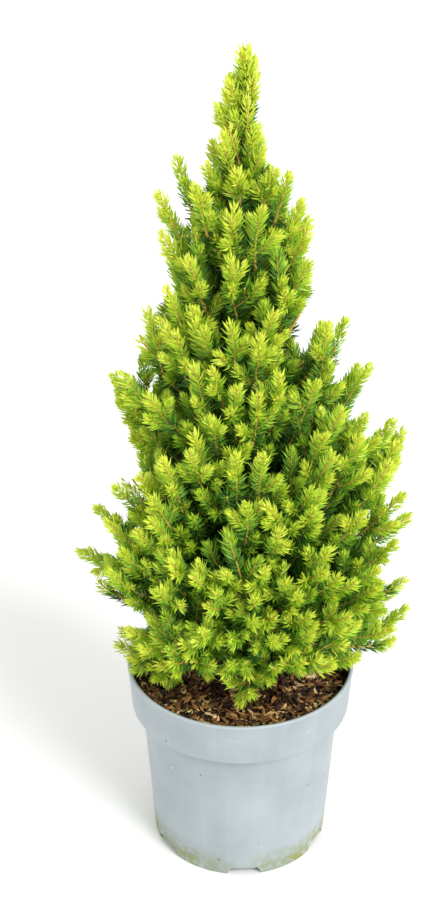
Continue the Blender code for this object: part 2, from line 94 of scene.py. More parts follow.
def newTree(name, inputs):
    # A Geometry Nodes tree with named inputs: label -> (socket kind, default)
    tree = bpy.data.node_groups.new(name, "GeometryNodeTree")
    tree.interface.new_socket("Geometry", in_out="INPUT", socket_type="NodeSocketGeometry")
    for label, (kind, value) in inputs.items():
        socket = tree.interface.new_socket(label, in_out="INPUT", socket_type="NodeSocket" + kind)
        if value is not None:
            socket.default_value = value
    tree.interface.new_socket("Geometry", in_out="OUTPUT", socket_type="NodeSocketGeometry")
    return tree, tree.nodes.new("NodeGroupInput").outputs, tree.nodes.new("NodeGroupOutput").inputs


def finishTree(tree, geometry, material, out):
    # Every tree ends by realizing its instances and setting their finish
    real = addNode(tree, "GeometryNodeRealizeInstances", inputs={"Geometry": geometry})
    done = addNode(
        tree, "GeometryNodeSetMaterial", inputs={"Geometry": real.outputs[0], "Material": material}
    )
    tree.links.new(done.outputs[0], out[0])


def evaluatedMesh(obj):
    graph = bpy.context.evaluated_depsgraph_get()
    return bpy.data.meshes.new_from_object(obj.evaluated_get(graph))


def grownMesh(source, tree, values):
    # The plain mesh that a tree makes from the source object
    modifier = source.modifiers.new("Grow", "NODES")
    modifier.node_group = tree
    for item in tree.interface.items_tree:
        if item.in_out == "INPUT" and item.name in values:
            modifier[item.identifier] = values[item.name]
    mesh = evaluatedMesh(source)
    source.modifiers.remove(modifier)
    return mesh


def newObject(name, mesh, material=None):
    obj = bpy.data.objects.new(name, mesh)
    bpy.context.scene.collection.objects.link(obj)
    if material:
        mesh.materials.append(material)
    return obj


def removeObject(obj):
    mesh = obj.data
    bpy.data.objects.remove(obj, do_unlink=True)
    bpy.data.meshes.remove(mesh)


def removeCollection(collection):
    for obj in list(collection.objects):
        removeObject(obj)
    bpy.data.collections.remove(collection)


def settle(obj, slot, *nodes):
    # The piece rides on the plant's one body and stands for these solids
    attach(obj, "root")
    if nodes:
        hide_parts(*nodes)
    return obj


def meshOf(bm, name, smooth=None):
    mesh = bpy.data.meshes.new(name)
    bm.to_mesh(mesh)
    bm.free()
    if smooth is not None:
        mesh.shade_smooth()
        mesh.set_sharp_from_angle(angle=math.radians(smooth))
    return mesh


# Finishes


def newFinish(name, roughness, ior, colour=None):
    material = bpy.data.materials.new(name)
    material.use_nodes = True
    shader = material.node_tree.nodes["Principled BSDF"]
    shader.inputs["Roughness"].default_value = roughness
    shader.inputs["IOR"].default_value = ior
    if colour:
        shader.inputs["Base Color"].default_value = linearColour(colour)
        material.diffuse_color = linearColour(colour)
    return material


def patternParts(material):
    # What a pattern starts from: the finish's tree, its shader and the piece's own coordinates
    tree = material.node_tree
    return tree, tree.nodes["Principled BSDF"], addNode(tree, "ShaderNodeTexCoord").outputs["Object"]


def needleFinish(name, colour):
    # Waxy spruce needle: a plain colour with the dull gloss of its wax
    return newFinish(name, 0.42, 1.45, colour)


def twigFinish(name, colour):
    # Young spruce bark: smooth, papery and hairless, dull
    return newFinish(name, 0.7, 1.45, colour)


def barkFinish(name, flake, ridge, grainMm):
    # Old spruce bark: grey-brown scales over a redder layer, quite matt
    material = newFinish(name, 0.88, 1.45)
    tree, shader, place = patternParts(material)
    grain = addNode(
        tree,
        "ShaderNodeTexNoise",
        inputs={"Vector": place, "Scale": 1000 / grainMm, "Detail": 4.0, "Roughness": 0.65},
    ).outputs["Fac"]
    stops = ((0.35, linearColour(ridge)), (0.68, linearColour(flake)))
    tone = addNode(tree, "ShaderNodeValToRGB", {"stops": stops}, {0: grain})
    bump = addNode(tree, "ShaderNodeBump", inputs={"Strength": 0.5, "Distance": 0.0004, "Height": grain})
    tree.links.new(tone.outputs[0], shader.inputs["Base Color"])
    tree.links.new(bump.outputs[0], shader.inputs["Normal"])
    return material


# Pot

potPlan = {
    "steps": 160,
    "lipThickness": 0.004,
    "lipDepth": 0.006,
    "lipReturn": 0.0008,
    "bandHeight": 0.0445,
    "bandFootRadius": 0.1062,
    "bodyTopRadius": 0.0963,
    "baseRadius": 0.0862,
    "wall": 0.0022,
    "floorUnderside": 0.0098,
    "floorThickness": 0.0025,
    "footRingWidth": 0.004,
    "bossRadius": 0.018,
    "cornerRound": 0.0016,
    "cornerSteps": 4,
    "notchCount": 6,
    "notchFootWidth": 0.035,
    "notchTopWidth": 0.026,
    "notchHeight": 0.0085,
    "notchDepth": 0.012,
    "firstNotch": math.radians(272.6),
    "drainRadius": 0.0045,
    "drainCircle": 0.066,
    "sharpAngle": 32,
}
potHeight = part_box("pot")[1].z
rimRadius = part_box("pot")[1].x
soilPlan = {
    "edgeHeight": 0.1780,
    "centreHeight": 0.1820,
    "flatRadius": 0.016,
    "bump": 0.0022,
    "bumpSize": 0.014,
    "crumb": 0.0011,
    "crumbSize": 0.0035,
    "sunk": 0.0012,
    "rings": 40,
    "steps": 120,
    "gap": 0.0003,
    "grainMm": 3,
    "peat": ("#1c120b", "#4a3220"),
}
wearAndHighlightPlan = {
    "plastic": ("#949ea3", "#a4adb2"),
    "roughness": 0.46,
    "algaeRoughness": 0.80,
    # painted highlight: the top of the rim's lip is lightened
    "lipHighlightColour": "#c3cccf",
    "lipDepth": 0.0022,
    "algaeColour": "#858a3a",
    "algaeTop": 0.031,
    "algaeFull": 0.006,
    "algaeMost": 0.88,
    "besideNotch": (0.004, 0.030),
    "streakColour": "#cfd7da",
    "scuffColour": "#dde3e5",
    "splashColour": "#7d6f58",
    "splashHeight": 0.016,
    # colour, millimetres between two, size as a share of that, share of places left empty
    "dots": {
        "specks": ("#4a3b2c", 17, 0.075, 0.62),
        "flecks": ("#e3e8e9", 21, 0.06, 0.74),
    },
    # the noise that each mark is cut from: grain in millimetres, detail, how it is drawn together
    "grains": {
        "mottle": (55, 3.0, (1.0, 1.0, 1.0)),
        "streaks": (70, 4.0, (7.0, 7.0, 0.5)),
        "scuffs": (46, 2.0, (1.0, 1.0, 26.0)),
        "patches": (7, 6.0, (1.0, 1.0, 1.0)),
        "broad": (48, 1.0, (1.0, 1.0, 1.0)),
        "splash": (7, 4.0, (1.0, 1.0, 1.0)),
        "satin": (0.8, 2.0, (1.0, 1.0, 1.0)),
    },
}


def potFinish():
    # Injection-moulded polypropylene: pale blue-grey and satin, scuffed and specked from the nursery
    # bench, with a film of algae round the foot where it stood wet, and a painted highlight along the lip
    plan = wearAndHighlightPlan
    material = newFinish("mouldedPolypropylene", plan["roughness"], 1.49)
    tree, shader, place = patternParts(material)
    at = addNode(tree, "ShaderNodeSeparateXYZ", inputs={0: place})
    height = at.outputs[2]
    aside = addNode(tree, "ShaderNodeMath", {"operation": "ABSOLUTE"}, {0: at.outputs[0]}).outputs[0]
    flat = addNode(tree, "ShaderNodeCombineXYZ", inputs={0: at.outputs[0], 1: at.outputs[1]})
    out = addNode(tree, "ShaderNodeVectorMath", {"operation": "LENGTH"}, {0: flat.outputs[0]})
    grain = {}
    for name, (millimetres, detail, scaleBy) in plan["grains"].items():
        drawn = addNode(tree, "ShaderNodeMapping", inputs={"Vector": place, "Scale": scaleBy})
        grain[name] = addNode(
            tree,
            "ShaderNodeTexNoise",
            inputs={"Vector": drawn.outputs[0], "Scale": 1000 / millimetres, "Detail": detail},
        ).outputs["Fac"]
    edge = soilPlan["edgeHeight"]
    masks = {
        # the value that a mask reads, where the mask starts and where it is full, and its strength there
        "streaks": (grain["streaks"], 0.50, 0.80, 0.0, 0.09),
        # painted highlight along the top of the lip
        "lip": (height, potHeight - plan["lipDepth"], potHeight - 0.4 * plan["lipDepth"], 0.0, 0.3),
        "scuffs": (grain["scuffs"], 0.70, 0.76, 0.0, 0.30),
        "foot": (height, plan["algaeTop"], plan["algaeFull"], 0.0, plan["algaeMost"]),
        "patches": (grain["patches"], 0.34, 0.56, 0.0, 1.0),
        "broad": (grain["broad"], 0.34, 0.52, 0.68, 1.0),
        "aside": (aside, *plan["besideNotch"], 0.30, 1.0),
        "inside": (out.outputs["Value"], rimRadius - 0.0025, rimRadius - 0.0035, 0.0, 1.0),
        "splashFoot": (height, edge - 0.006, edge - 0.004, 0.0, 1.0),
        "splashTop": (height, edge + plan["splashHeight"], edge + 0.002, 0.0, 1.0),
        "splash": (grain["splash"], 0.40, 0.60, 0.0, 1.0),
    }
    for name, (colour, millimetres, size, empty) in plan["dots"].items():
        cells = addNode(tree, "ShaderNodeTexVoronoi", inputs={"Vector": place, "Scale": 1000 / millimetres})
        lot = addNode(tree, "ShaderNodeSeparateColor", inputs={0: cells.outputs["Color"]})
        masks[name] = (cells.outputs["Distance"], size, 0.6 * size, 0.0, 1.0)
        masks[name + "Kept"] = (lot.outputs[0], empty, empty + 0.02, 0.0, 1.0)
    for name, (value, start, full, low, high) in masks.items():
        masks[name] = addNode(
            tree,
            "ShaderNodeMapRange",
            inputs={"Value": value, "From Min": start, "From Max": full, "To Min": low, "To Max": high},
        ).outputs[0]
    stops = [(position, linearColour(plan["plastic"][i])) for i, position in enumerate((0.32, 0.68))]
    colour = addNode(tree, "ShaderNodeValToRGB", {"stops": stops}, {0: grain["mottle"]}).outputs[0]
    coats = (
        # each coat's colour and the masks that it is laid through
        (plan["streakColour"], ("streaks",)),
        # painted highlight on the lip
        (plan["lipHighlightColour"], ("lip",)),
        (plan["scuffColour"], ("scuffs",)),
        (plan["algaeColour"], ("foot", "patches", "broad", "aside")),
        (plan["dots"]["specks"][0], ("specks", "specksKept")),
        (plan["dots"]["flecks"][0], ("flecks", "flecksKept")),
        (plan["splashColour"], ("inside", "splashFoot", "splashTop", "splash")),
    )
    shares = {}
    for coat, names in coats:
        share = masks[names[0]]
        for name in names[1:]:
            both = {0: share, 1: masks[name]}
            share = addNode(tree, "ShaderNodeMath", {"operation": "MULTIPLY"}, both).outputs[0]
        shares[coat] = share
        layers = {0: share, 6: colour, 7: linearColour(coat)}
        colour = addNode(tree, "ShaderNodeMix", {"data_type": "RGBA"}, layers).outputs[2]
    # Algae are duller than the plastic
    gloss = addNode(
        tree,
        "ShaderNodeMapRange",
        inputs={
            "Value": shares[plan["algaeColour"]],
            "From Max": 0.7,
            "To Min": plan["roughness"],
            "To Max": plan["algaeRoughness"],
        },
    )
    bump = addNode(
        tree, "ShaderNodeBump", inputs={"Strength": 0.25, "Distance": 0.0002, "Height": grain["satin"]}
    )
    tree.links.new(colour, shader.inputs["Base Color"])
    tree.links.new(gloss.outputs[0], shader.inputs["Roughness"])
    tree.links.new(bump.outputs[0], shader.inputs["Normal"])
    return material


def roundedPath(corners, reach, steps):
    # The corners of an outline, each eased over a short reach by a curve
    path = [corners[0]]
    for before, corner, after in zip(corners, corners[1:], corners[2:]):
        into, out = Vector(before) - Vector(corner), Vector(after) - Vector(corner)
        ease = min(reach, 0.45 * into.length, 0.45 * out.length)
        start = Vector(corner) + ease * into.normalized()
        end = Vector(corner) + ease * out.normalized()
        for i in range(steps + 1):
            share = i / steps
            path.append((1 - share) ** 2 * start + 2 * share * (1 - share) * Vector(corner) + share**2 * end)
    path.append(corners[-1])
    return [tuple(point) for point in path]


def potProfile():
    plan = potPlan
    step = potHeight - plan["bandHeight"]
    wall = plan["wall"]
    floor = plan["floorUnderside"] + plan["floorThickness"]
    lip = plan["lipThickness"] / 2
    slope = (plan["bodyTopRadius"] - plan["baseRadius"]) / step
    turns = [math.pi * (1 - i / 12) for i in range(13)]
    inner = [
        (0.0, floor),
        (plan["baseRadius"] + slope * floor - wall, floor),
        (plan["bodyTopRadius"] - wall, step + wall),
        (plan["bandFootRadius"] - wall, step + wall),
        (rimRadius - plan["lipReturn"] - wall, potHeight - plan["lipDepth"]),
    ]
    lipArc = [(rimRadius - lip + lip * math.cos(t), potHeight - lip + lip * math.sin(t)) for t in turns]
    outer = [
        (rimRadius - plan["lipReturn"], potHeight - plan["lipDepth"]),
        (plan["bandFootRadius"], step),
        (plan["bodyTopRadius"], step),
        (plan["baseRadius"], 0.0),
        (plan["baseRadius"] - plan["footRingWidth"], 0.0),
        (plan["baseRadius"] - plan["footRingWidth"], plan["floorUnderside"]),
        (plan["bossRadius"], plan["floorUnderside"]),
        (plan["bossRadius"], 0.0),
        (0.0, 0.0),
    ]
    ease = (plan["cornerRound"], plan["cornerSteps"])
    return roundedPath(inner + lipArc[:1], *ease) + lipArc[1:-1] + roundedPath(lipArc[-1:] + outer, *ease)


def turnedObject(name, profile, steps):
    mesh = bpy.data.meshes.new(name)
    edges = [(i, i + 1) for i in range(len(profile) - 1)]
    mesh.from_pydata([(radius, 0.0, height) for radius, height in profile], edges, [])
    obj = newObject(name, mesh)
    screw = obj.modifiers.new("Turn", "SCREW")
    screw.steps = screw.render_steps = steps
    screw.use_merge_vertices = True
    screw.merge_threshold = 0.00001
    return obj


def footCutters(collection):
    plan = potPlan
    slope = (plan["notchFootWidth"] - plan["notchTopWidth"]) / plan["notchHeight"]
    for i in range(plan["notchCount"]):
        turn = Matrix.Rotation(plan["firstNotch"] + i * math.tau / plan["notchCount"], 4, "Z")
        notch = bmesh.new()
        bmesh.ops.create_cube(notch, size=1.0)
        for vertex in notch.verts:
            height = math.copysign(plan["notchHeight"], vertex.co.z)
            width = plan["notchTopWidth"] + slope * (plan["notchHeight"] - height)
            vertex.co = (plan["baseRadius"] + plan["notchDepth"] * vertex.co.x, width * vertex.co.y, height)
        notch.transform(turn)
        drain = bmesh.new()
        bmesh.ops.create_cone(
            drain,
            cap_ends=True,
            segments=24,
            radius1=plan["drainRadius"],
            radius2=plan["drainRadius"],
            depth=4 * plan["floorThickness"],
            matrix=turn @ Matrix.Translation((plan["drainCircle"], 0.0, plan["floorUnderside"])),
        )
        for bm in (notch, drain):
            collection.objects.link(bpy.data.objects.new("cutter", meshOf(bm, "cutter")))


def makePot():
    plan = potPlan
    obj = turnedObject("turned", potProfile(), plan["steps"])
    cutters = bpy.data.collections.new("cutters")
    footCutters(cutters)
    cut = obj.modifiers.new("Cut", "BOOLEAN")
    cut.operand_type = "COLLECTION"
    cut.collection = cutters
    mesh = evaluatedMesh(obj)
    removeObject(obj)
    removeCollection(cutters)
    mesh.shade_smooth()
    mesh.set_sharp_from_angle(angle=math.radians(plan["sharpAngle"]))
    mesh.materials.clear()
    settle(newObject("pot_shell", mesh, potFinish()), "pot_plastic", "pot")
    print("pot made:", len(mesh.polygons), "faces")


# Growing medium


def compostFinish():
    # Peaty compost between the chips: near black-brown, crumbly and matt
    material = newFinish("peatCompost", 0.95, 1.4)
    tree, shader, place = patternParts(material)
    scale = 1000 / soilPlan["grainMm"]
    crumb = addNode(tree, "ShaderNodeTexNoise", inputs={"Vector": place, "Scale": scale, "Detail": 4.0})
    stops = [(position, linearColour(colour)) for position, colour in zip((0.35, 0.75), soilPlan["peat"])]
    tone = addNode(tree, "ShaderNodeValToRGB", {"stops": stops}, {0: crumb.outputs["Fac"]})
    tree.links.new(tone.outputs[0], shader.inputs["Base Color"])
    return material


def makeCompost():
    plan = soilPlan
    step = potHeight - potPlan["bandHeight"]
    wall, gap = potPlan["wall"], plan["gap"]
    foot = potPlan["floorUnderside"] + potPlan["floorThickness"] + gap
    rise = (rimRadius - potPlan["lipReturn"] - potPlan["bandFootRadius"]) / (
        potPlan["bandHeight"] - potPlan["lipDepth"]
    )
    edgeRadius = potPlan["bandFootRadius"] - wall - 2 * gap + rise * (plan["edgeHeight"] - step - wall)
    slope = (potPlan["bodyTopRadius"] - potPlan["baseRadius"]) / step
    profile = []
    for i in range(plan["rings"] + 1):
        radius = edgeRadius * i / plan["rings"]
        share = max(0.0, (radius - plan["flatRadius"]) / (edgeRadius - plan["flatRadius"]))
        height = plan["centreHeight"] + (plan["edgeHeight"] - plan["centreHeight"]) * share
        profile.append((radius, height - plan["sunk"]))
    profile += [
        (potPlan["bandFootRadius"] - wall - 2 * gap, step + wall + gap),
        (potPlan["bodyTopRadius"] - wall - 2 * gap, step + wall + gap),
        (potPlan["baseRadius"] + slope * foot - wall - 2 * gap, foot),
        (0.0, foot),
    ]
    obj = turnedObject("turned", profile, plan["steps"])
    mesh = evaluatedMesh(obj)
    removeObject(obj)
    for vertex in mesh.vertices:
        radius = math.hypot(vertex.co.x, vertex.co.y)
        if vertex.co.z > plan["edgeHeight"] - 2 * plan["sunk"] and radius > plan["flatRadius"]:
            vertex.co.z += plan["bump"] * noise.noise(vertex.co / plan["bumpSize"])
            vertex.co.z += plan["crumb"] * noise.noise(vertex.co / plan["crumbSize"])
    mesh.materials.clear()
    settle(newObject("compost", mesh, compostFinish()), "bark_compost", "soil")
    print("compost made")


chipPlan = {
    "reach": 0.0985,
    "shapes": 6,
    "corners": 10,
    "box": (1.0, 0.32, 0.18),
    "perSquareMetre": 100000,
    "tilt": math.radians(36),
    "sunk": 0.0012,
    "heaped": 0.0036,
    "fibreMm": 2.2,
    "fibreTones": (0.5, 1.25),
    "seed": 31,
}
chipKinds = (
    # name, colour, share of all chips, shortest, longest
    ("darkBark", "#3a2413", 0.25, 0.007, 0.016),
    ("brownBark", "#77502a", 0.24, 0.007, 0.016),
    ("tanBark", "#b3844a", 0.21, 0.006, 0.014),
    ("strawWood", "#eac68a", 0.14, 0.005, 0.014),
    ("greenedBark", "#75702f", 0.06, 0.005, 0.011),
    ("peatCrumb", "#1a110a", 0.10, 0.004, 0.008),
)


def chipFinish(name, colour):
    # Shredded pine bark and wood: fibrous and damp, streaked along the grain
    material = newFinish(name, 0.55, 1.4)
    tree, shader, place = patternParts(material)
    scale = 1000 / chipPlan["fibreMm"]
    fibre = addNode(tree, "ShaderNodeTexNoise", inputs={"Vector": place, "Scale": scale, "Detail": 3.0})
    base = linearColour(colour)[:3]
    dark, pale = [(*[min(1.0, share * c) for c in base], 1.0) for share in chipPlan["fibreTones"]]
    stops = ((0.32, dark), (0.66, pale))
    tone = addNode(tree, "ShaderNodeValToRGB", {"stops": stops}, {0: fibre.outputs["Fac"]})
    tree.links.new(tone.outputs[0], shader.inputs["Base Color"])
    return material


def chipShapes():
    # A few splinters, each the hull of random corners in a flat box
    plan = chipPlan
    rng = random.Random(plan["seed"])
    shapes = bpy.data.collections.new("chips")
    for _ in range(plan["shapes"]):
        bm = bmesh.new()
        for _ in range(plan["corners"]):
            bm.verts.new([size * rng.uniform(-0.5, 0.5) for size in plan["box"]])
        hull = bmesh.ops.convex_hull(bm, input=bm.verts)
        bmesh.ops.delete(bm, geom=list({*hull["geom_interior"], *hull["geom_unused"]}), context="VERTS")
        bmesh.ops.recalc_face_normals(bm, faces=bm.faces)
        shapes.objects.link(bpy.data.objects.new("chip", meshOf(bm, "chip")))
    return shapes


def chipTree():
    plan = chipPlan
    tree, given, out = newTree(
        "chips",
        {
            "Per Square Metre": ("Float", 1000.0),
            "Shortest": ("Float", 0.005),
            "Longest": ("Float", 0.010),
            "Tilt": ("Float", plan["tilt"]),
            "Sunk": ("Float", plan["sunk"]),
            "Heaped": ("Float", plan["heaped"]),
            "Seed": ("Int", plan["seed"]),
            "Shapes": ("Collection", None),
            "Finish": ("Material", None),
        },
    )
    dots = addNode(
        tree,
        "GeometryNodeDistributePointsOnFaces",
        inputs={"Mesh": given["Geometry"], "Density": given["Per Square Metre"], "Seed": given["Seed"]},
    )
    shapes = addNode(
        tree,
        "GeometryNodeCollectionInfo",
        inputs={"Collection": given["Shapes"], "Separate Children": True, "Reset Children": True},
    )
    lean = addNode(tree, "ShaderNodeMath", {"operation": "MULTIPLY"}, {0: given["Tilt"], 1: -1.0})
    low = addNode(tree, "ShaderNodeCombineXYZ", inputs={0: lean.outputs[0], 1: lean.outputs[0], 2: 0.0})
    high = addNode(tree, "ShaderNodeCombineXYZ", inputs={0: given["Tilt"], 1: given["Tilt"], 2: math.tau})
    turn = addNode(
        tree,
        "FunctionNodeRandomValue",
        {"data_type": "FLOAT_VECTOR"},
        {0: low.outputs[0], 1: high.outputs[0], "Seed": given["Seed"]},
    )
    size = addNode(
        tree,
        "FunctionNodeRandomValue",
        inputs={2: given["Shortest"], 3: given["Longest"], "Seed": given["Seed"]},
    )
    sunk = addNode(tree, "ShaderNodeMath", {"operation": "MULTIPLY"}, {0: given["Sunk"], 1: -1.0})
    depth = addNode(
        tree,
        "FunctionNodeRandomValue",
        inputs={2: sunk.outputs[0], 3: given["Heaped"], "Seed": given["Seed"]},
    )
    shift = addNode(tree, "ShaderNodeCombineXYZ", inputs={2: depth.outputs[1]})
    heaped = addNode(
        tree, "GeometryNodeSetPosition", inputs={"Geometry": dots.outputs[0], "Offset": shift.outputs[0]}
    )
    placed = addNode(
        tree,
        "GeometryNodeInstanceOnPoints",
        inputs={
            "Points": heaped.outputs[0],
            "Instance": shapes.outputs[0],
            "Pick Instance": True,
            "Rotation": turn.outputs[0],
            "Scale": size.outputs[1],
        },
    )
    finishTree(tree, placed.outputs[0], given["Finish"], out)
    return tree


def makeChips():
    # Bark and wood chips heaped over the compost
    plan = chipPlan
    bm = bmesh.new()
    bmesh.ops.create_circle(bm, cap_ends=True, segments=48, radius=plan["reach"])
    bmesh.ops.poke(bm, faces=bm.faces)
    for vertex in bm.verts:
        share = math.hypot(vertex.co.x, vertex.co.y) / plan["reach"]
        vertex.co.z = soilPlan["centreHeight"] + (soilPlan["edgeHeight"] - soilPlan["centreHeight"]) * share
    ground = newObject("ground", meshOf(bm, "ground"))
    shapes = chipShapes()
    tree = chipTree()
    for i, (name, colour, share, shortest, longest) in enumerate(chipKinds):
        values = {
            "Per Square Metre": share * plan["perSquareMetre"],
            "Shortest": shortest,
            "Longest": longest,
            "Seed": plan["seed"] + i,
            "Shapes": shapes,
            "Finish": chipFinish(name, colour),
        }
        mesh = grownMesh(ground, tree, values)
        settle(newObject("chips_" + name, mesh), "bark_compost")
        print("chips", name, len(mesh.polygons))
    removeObject(ground)
    removeCollection(shapes)


# Trunk and limbs, by the same rule as the solids

trunkPlan = {
    "top": 0.700,
    # height above the soil, radius
    "taper": (
        (0.0, 0.0120),
        (0.006, 0.0110),
        (0.018, 0.0086),
        (0.05, 0.0070),
        (0.12, 0.0062),
        (0.24, 0.0050),
    ),
    "tipRadius": 0.0020,
    "wander": 0.0015,
    "marks": 60,
    "flareMarks": (0.0, 0.003, 0.006),
    "sides": 28,
    "spacing": 0.0022,
    "flake": 0.0050,
    "relief": 0.00065,
    "bark": ("#8a6f58", "#3a281c"),
    "grainMm": 2.2,
}
boughPlan = {
    "share": 0.36,
    "radius": 0.0036,
    "tipRadius": 0.0026,
    "stemRadius": 0.0024,
    "stemTipRadius": 0.0012,
    "spans": 7,
    "shortestSpan": 0.05,
    "bendReach": 0.60,
    "bendRise": 0.30,
    "stemStop": 0.022,
    "gap": 0.0003,
    "sides": 14,
    "spacing": 0.0025,
    "flake": 0.0030,
    "relief": 0.00030,
}
crownPlan = {
    # height, reach to the left, reach to the right, reach to the front and back
    "outline": (
        (0.185, 0.110, 0.112, 0.070),
        (0.215, 0.120, 0.148, 0.096),
        (0.260, 0.130, 0.162, 0.136),
        (0.320, 0.155, 0.158, 0.154),
        (0.360, 0.142, 0.161, 0.151),
        (0.440, 0.116, 0.150, 0.136),
        (0.505, 0.117, 0.119, 0.114),
        (0.560, 0.094, 0.087, 0.091),
        (0.630, 0.077, 0.067, 0.071),
        (0.678, 0.073, 0.055, 0.062),
        (0.705, 0.029, 0.029, 0.029),
        (0.755, 0.022, 0.022, 0.022),
        (0.775, 0.017, 0.017, 0.017),
        (0.790, 0.006, 0.006, 0.006),
    ),
    # name, count, turn, foot height, tip height, has a bough, shoot length, shoot rise, part of the crown
    "tiers": (
        ("skirt", 5, -10, 0.212, 0.222, True, 0.042, 0.08, "lower"),
        ("low", 6, 0, 0.230, 0.277, True, 0.058, 0.12, "lower"),
        ("lower_mid", 5, -18, 0.258, 0.355, True, 0.062, 0.25, "lower"),
        ("mid", 5, 4, 0.310, 0.438, False, 0.060, 0.35, "middle"),
        ("upper_mid", 5, 40, 0.380, 0.508, False, 0.055, 0.38, "middle"),
        ("high", 4, 10, 0.450, 0.562, False, 0.050, 0.40, "upper"),
        ("shoulder", 4, 50, 0.520, 0.626, False, 0.043, 0.40, "upper"),
        ("neck", 4, -8, 0.585, 0.680, False, 0.037, 0.40, "upper"),
        ("collar", 2, 50, 0.650, 0.716, False, 0.030, 0.45, "upper"),
    ),
    "tipTier": ("tip", 1, 0, 0.700, 0.790, False, 0.025, 0.35, "upper"),
    # where the middle and the upper part start, for branches of their own
    "middleFrom": 0.36,
    "upperFrom": 0.49,
    "turnJitter": math.radians(5),
    "heightJitter": 0.008,
    "slack": 0.002,
    "seed": 24,
}
# Open places at the sides, between the leading shoots: across, height and radius of each.
# They run down towards the back.
openings = (
    (-0.026, 0.772, 0.009), (0.024, 0.740, 0.012), (0.033, 0.716, 0.013), (0.035, 0.697, 0.013),
    (-0.041, 0.690, 0.006), (-0.040, 0.679, 0.004), (-0.066, 0.676, 0.007), (-0.053, 0.656, 0.006),
    (-0.058, 0.662, 0.004), (0.058, 0.668, 0.014), (0.046, 0.661, 0.004), (-0.068, 0.633, 0.005),
    (-0.062, 0.628, 0.004), (0.064, 0.607, 0.008), (-0.071, 0.588, 0.008), (-0.063, 0.585, 0.004),
    (-0.092, 0.574, 0.012), (0.069, 0.567, 0.012), (0.058, 0.547, 0.009), (0.096, 0.522, 0.012),
    (0.091, 0.507, 0.006), (-0.108, 0.526, 0.012), (0.124, 0.472, 0.018), (0.103, 0.461, 0.005),
    (0.121, 0.450, 0.004), (-0.122, 0.437, 0.012), (-0.116, 0.411, 0.014), (-0.100, 0.387, 0.006),
    (-0.094, 0.376, 0.005), (0.145, 0.389, 0.012), (-0.132, 0.385, 0.013), (-0.124, 0.372, 0.006),
    (-0.137, 0.336, 0.009), (-0.128, 0.326, 0.005), (0.150, 0.329, 0.008), (0.159, 0.308, 0.015),
    (0.141, 0.292, 0.014), (-0.128, 0.257, 0.016), (-0.108, 0.236, 0.011), (0.121, 0.197, 0.008),
)
openingPlan = {"clearance": 0.0055, "fall": 0.85, "fallLessPerMetre": 0.8}
outlineRows = np.array(crownPlan["outline"])
openingRows = np.array(openings)
soilTop = soilPlan["centreHeight"]


def crownReach(heights, turns):
    # How far the crown reaches at each height and turn
    left, right, depth = (np.interp(heights, outlineRows[:, 0], outlineRows[:, i]) for i in (1, 2, 3))
    across = np.cos(turns) ** 2
    return across * np.where(np.cos(turns) > 0, right, left) + (1 - across) * depth


def inOpening(places):
    # Whether any of the places lies in an open place, or so near that its needles would fill it
    plan = openingPlan
    level = places[:, 2] + (plan["fall"] - plan["fallLessPerMetre"] * places[:, 2]) * places[:, 1]
    away = np.hypot(places[:, 0, None] - openingRows[:, 0], level[:, None] - openingRows[:, 1])
    return bool((away < openingRows[:, 2] + plan["clearance"]).any())


def trunkRadius(height):
    taper = trunkPlan["taper"] + ((trunkPlan["top"] - soilTop, trunkPlan["tipRadius"]),)
    return float(np.interp(height - soilTop, [row[0] for row in taper], [row[1] for row in taper]))


def trunkAxis(height):
    share = (height - soilTop) / (trunkPlan["top"] - soilTop)
    swing = trunkPlan["wander"] * math.sin(math.pi * min(max(share, 0.0), 1.0))
    return Vector((swing * math.sin(9.0 * share), swing * math.cos(7.0 * share) - swing, height))


def routePoint(foot, bend, tip, share):
    return (1 - share) ** 2 * foot + 2 * share * (1 - share) * bend + share**2 * tip


def outwardAt(turn):
    return Vector((math.cos(turn), math.sin(turn), 0.0))


def partAt(height):
    if height < crownPlan["middleFrom"]:
        return "lower"
    return "middle" if height < crownPlan["upperFrom"] else "upper"


def planMass(tier, index, rng):
    # A curved route from the trunk to the mass's tip. A bough takes its first share, and the stem the rest.
    name, count, turn, footHeight, tipHeight, hasBough, shootLength, shootRise, part = tier
    plan = boughPlan
    azimuth = math.radians(turn) + index * math.tau / count + rng.uniform(-1, 1) * crownPlan["turnJitter"]
    height = tipHeight + rng.uniform(-1, 1) * crownPlan["heightJitter"]
    outward = outwardAt(azimuth)
    reach = float(crownReach(height, azimuth))
    rise = math.atan2(plan["bendRise"] * (height - footHeight), plan["bendReach"] * reach)
    limbRadius = plan["radius"] if hasBough else plan["stemRadius"]
    start = trunkRadius(footHeight) + plan["gap"] + limbRadius * math.sin(abs(rise))
    foot = trunkAxis(footHeight) + start * outward
    tip = Vector((reach * outward.x, reach * outward.y, height))
    bend = foot + (tip - foot) * plan["bendReach"]
    bend.z = foot.z + plan["bendRise"] * (height - foot.z)
    shares = [i / plan["spans"] for i in range(plan["spans"] + 1)]
    length = (tip - foot).length
    bough = None
    if hasBough:
        marks = [share for share in shares if share < plan["share"]] + [plan["share"]]
        points = [routePoint(foot, bend, tip, mark) for mark in marks]
        bough = (points, np.interp(marks, [0, plan["share"]], [plan["radius"], plan["tipRadius"]]).tolist())
    first = plan["share"] + plan["gap"] / length if hasBough else 0.0
    last = 1.0 - plan["stemStop"] / length
    least = plan["shortestSpan"]
    marks = [first, *[share for share in shares if first + least < share < last - least], last]
    points = [routePoint(foot, bend, tip, mark) for mark in marks]
    radii = np.interp(marks, [marks[0], marks[-1]], [plan["stemRadius"], plan["stemTipRadius"]]).tolist()
    return {
        "name": f"{name}_mass_{index + 1}",
        "stem": (points, radii),
        "bough": bough,
        "tip": tip,
        "shootLength": shootLength,
        "shootRise": shootRise,
        "part": part,
    }


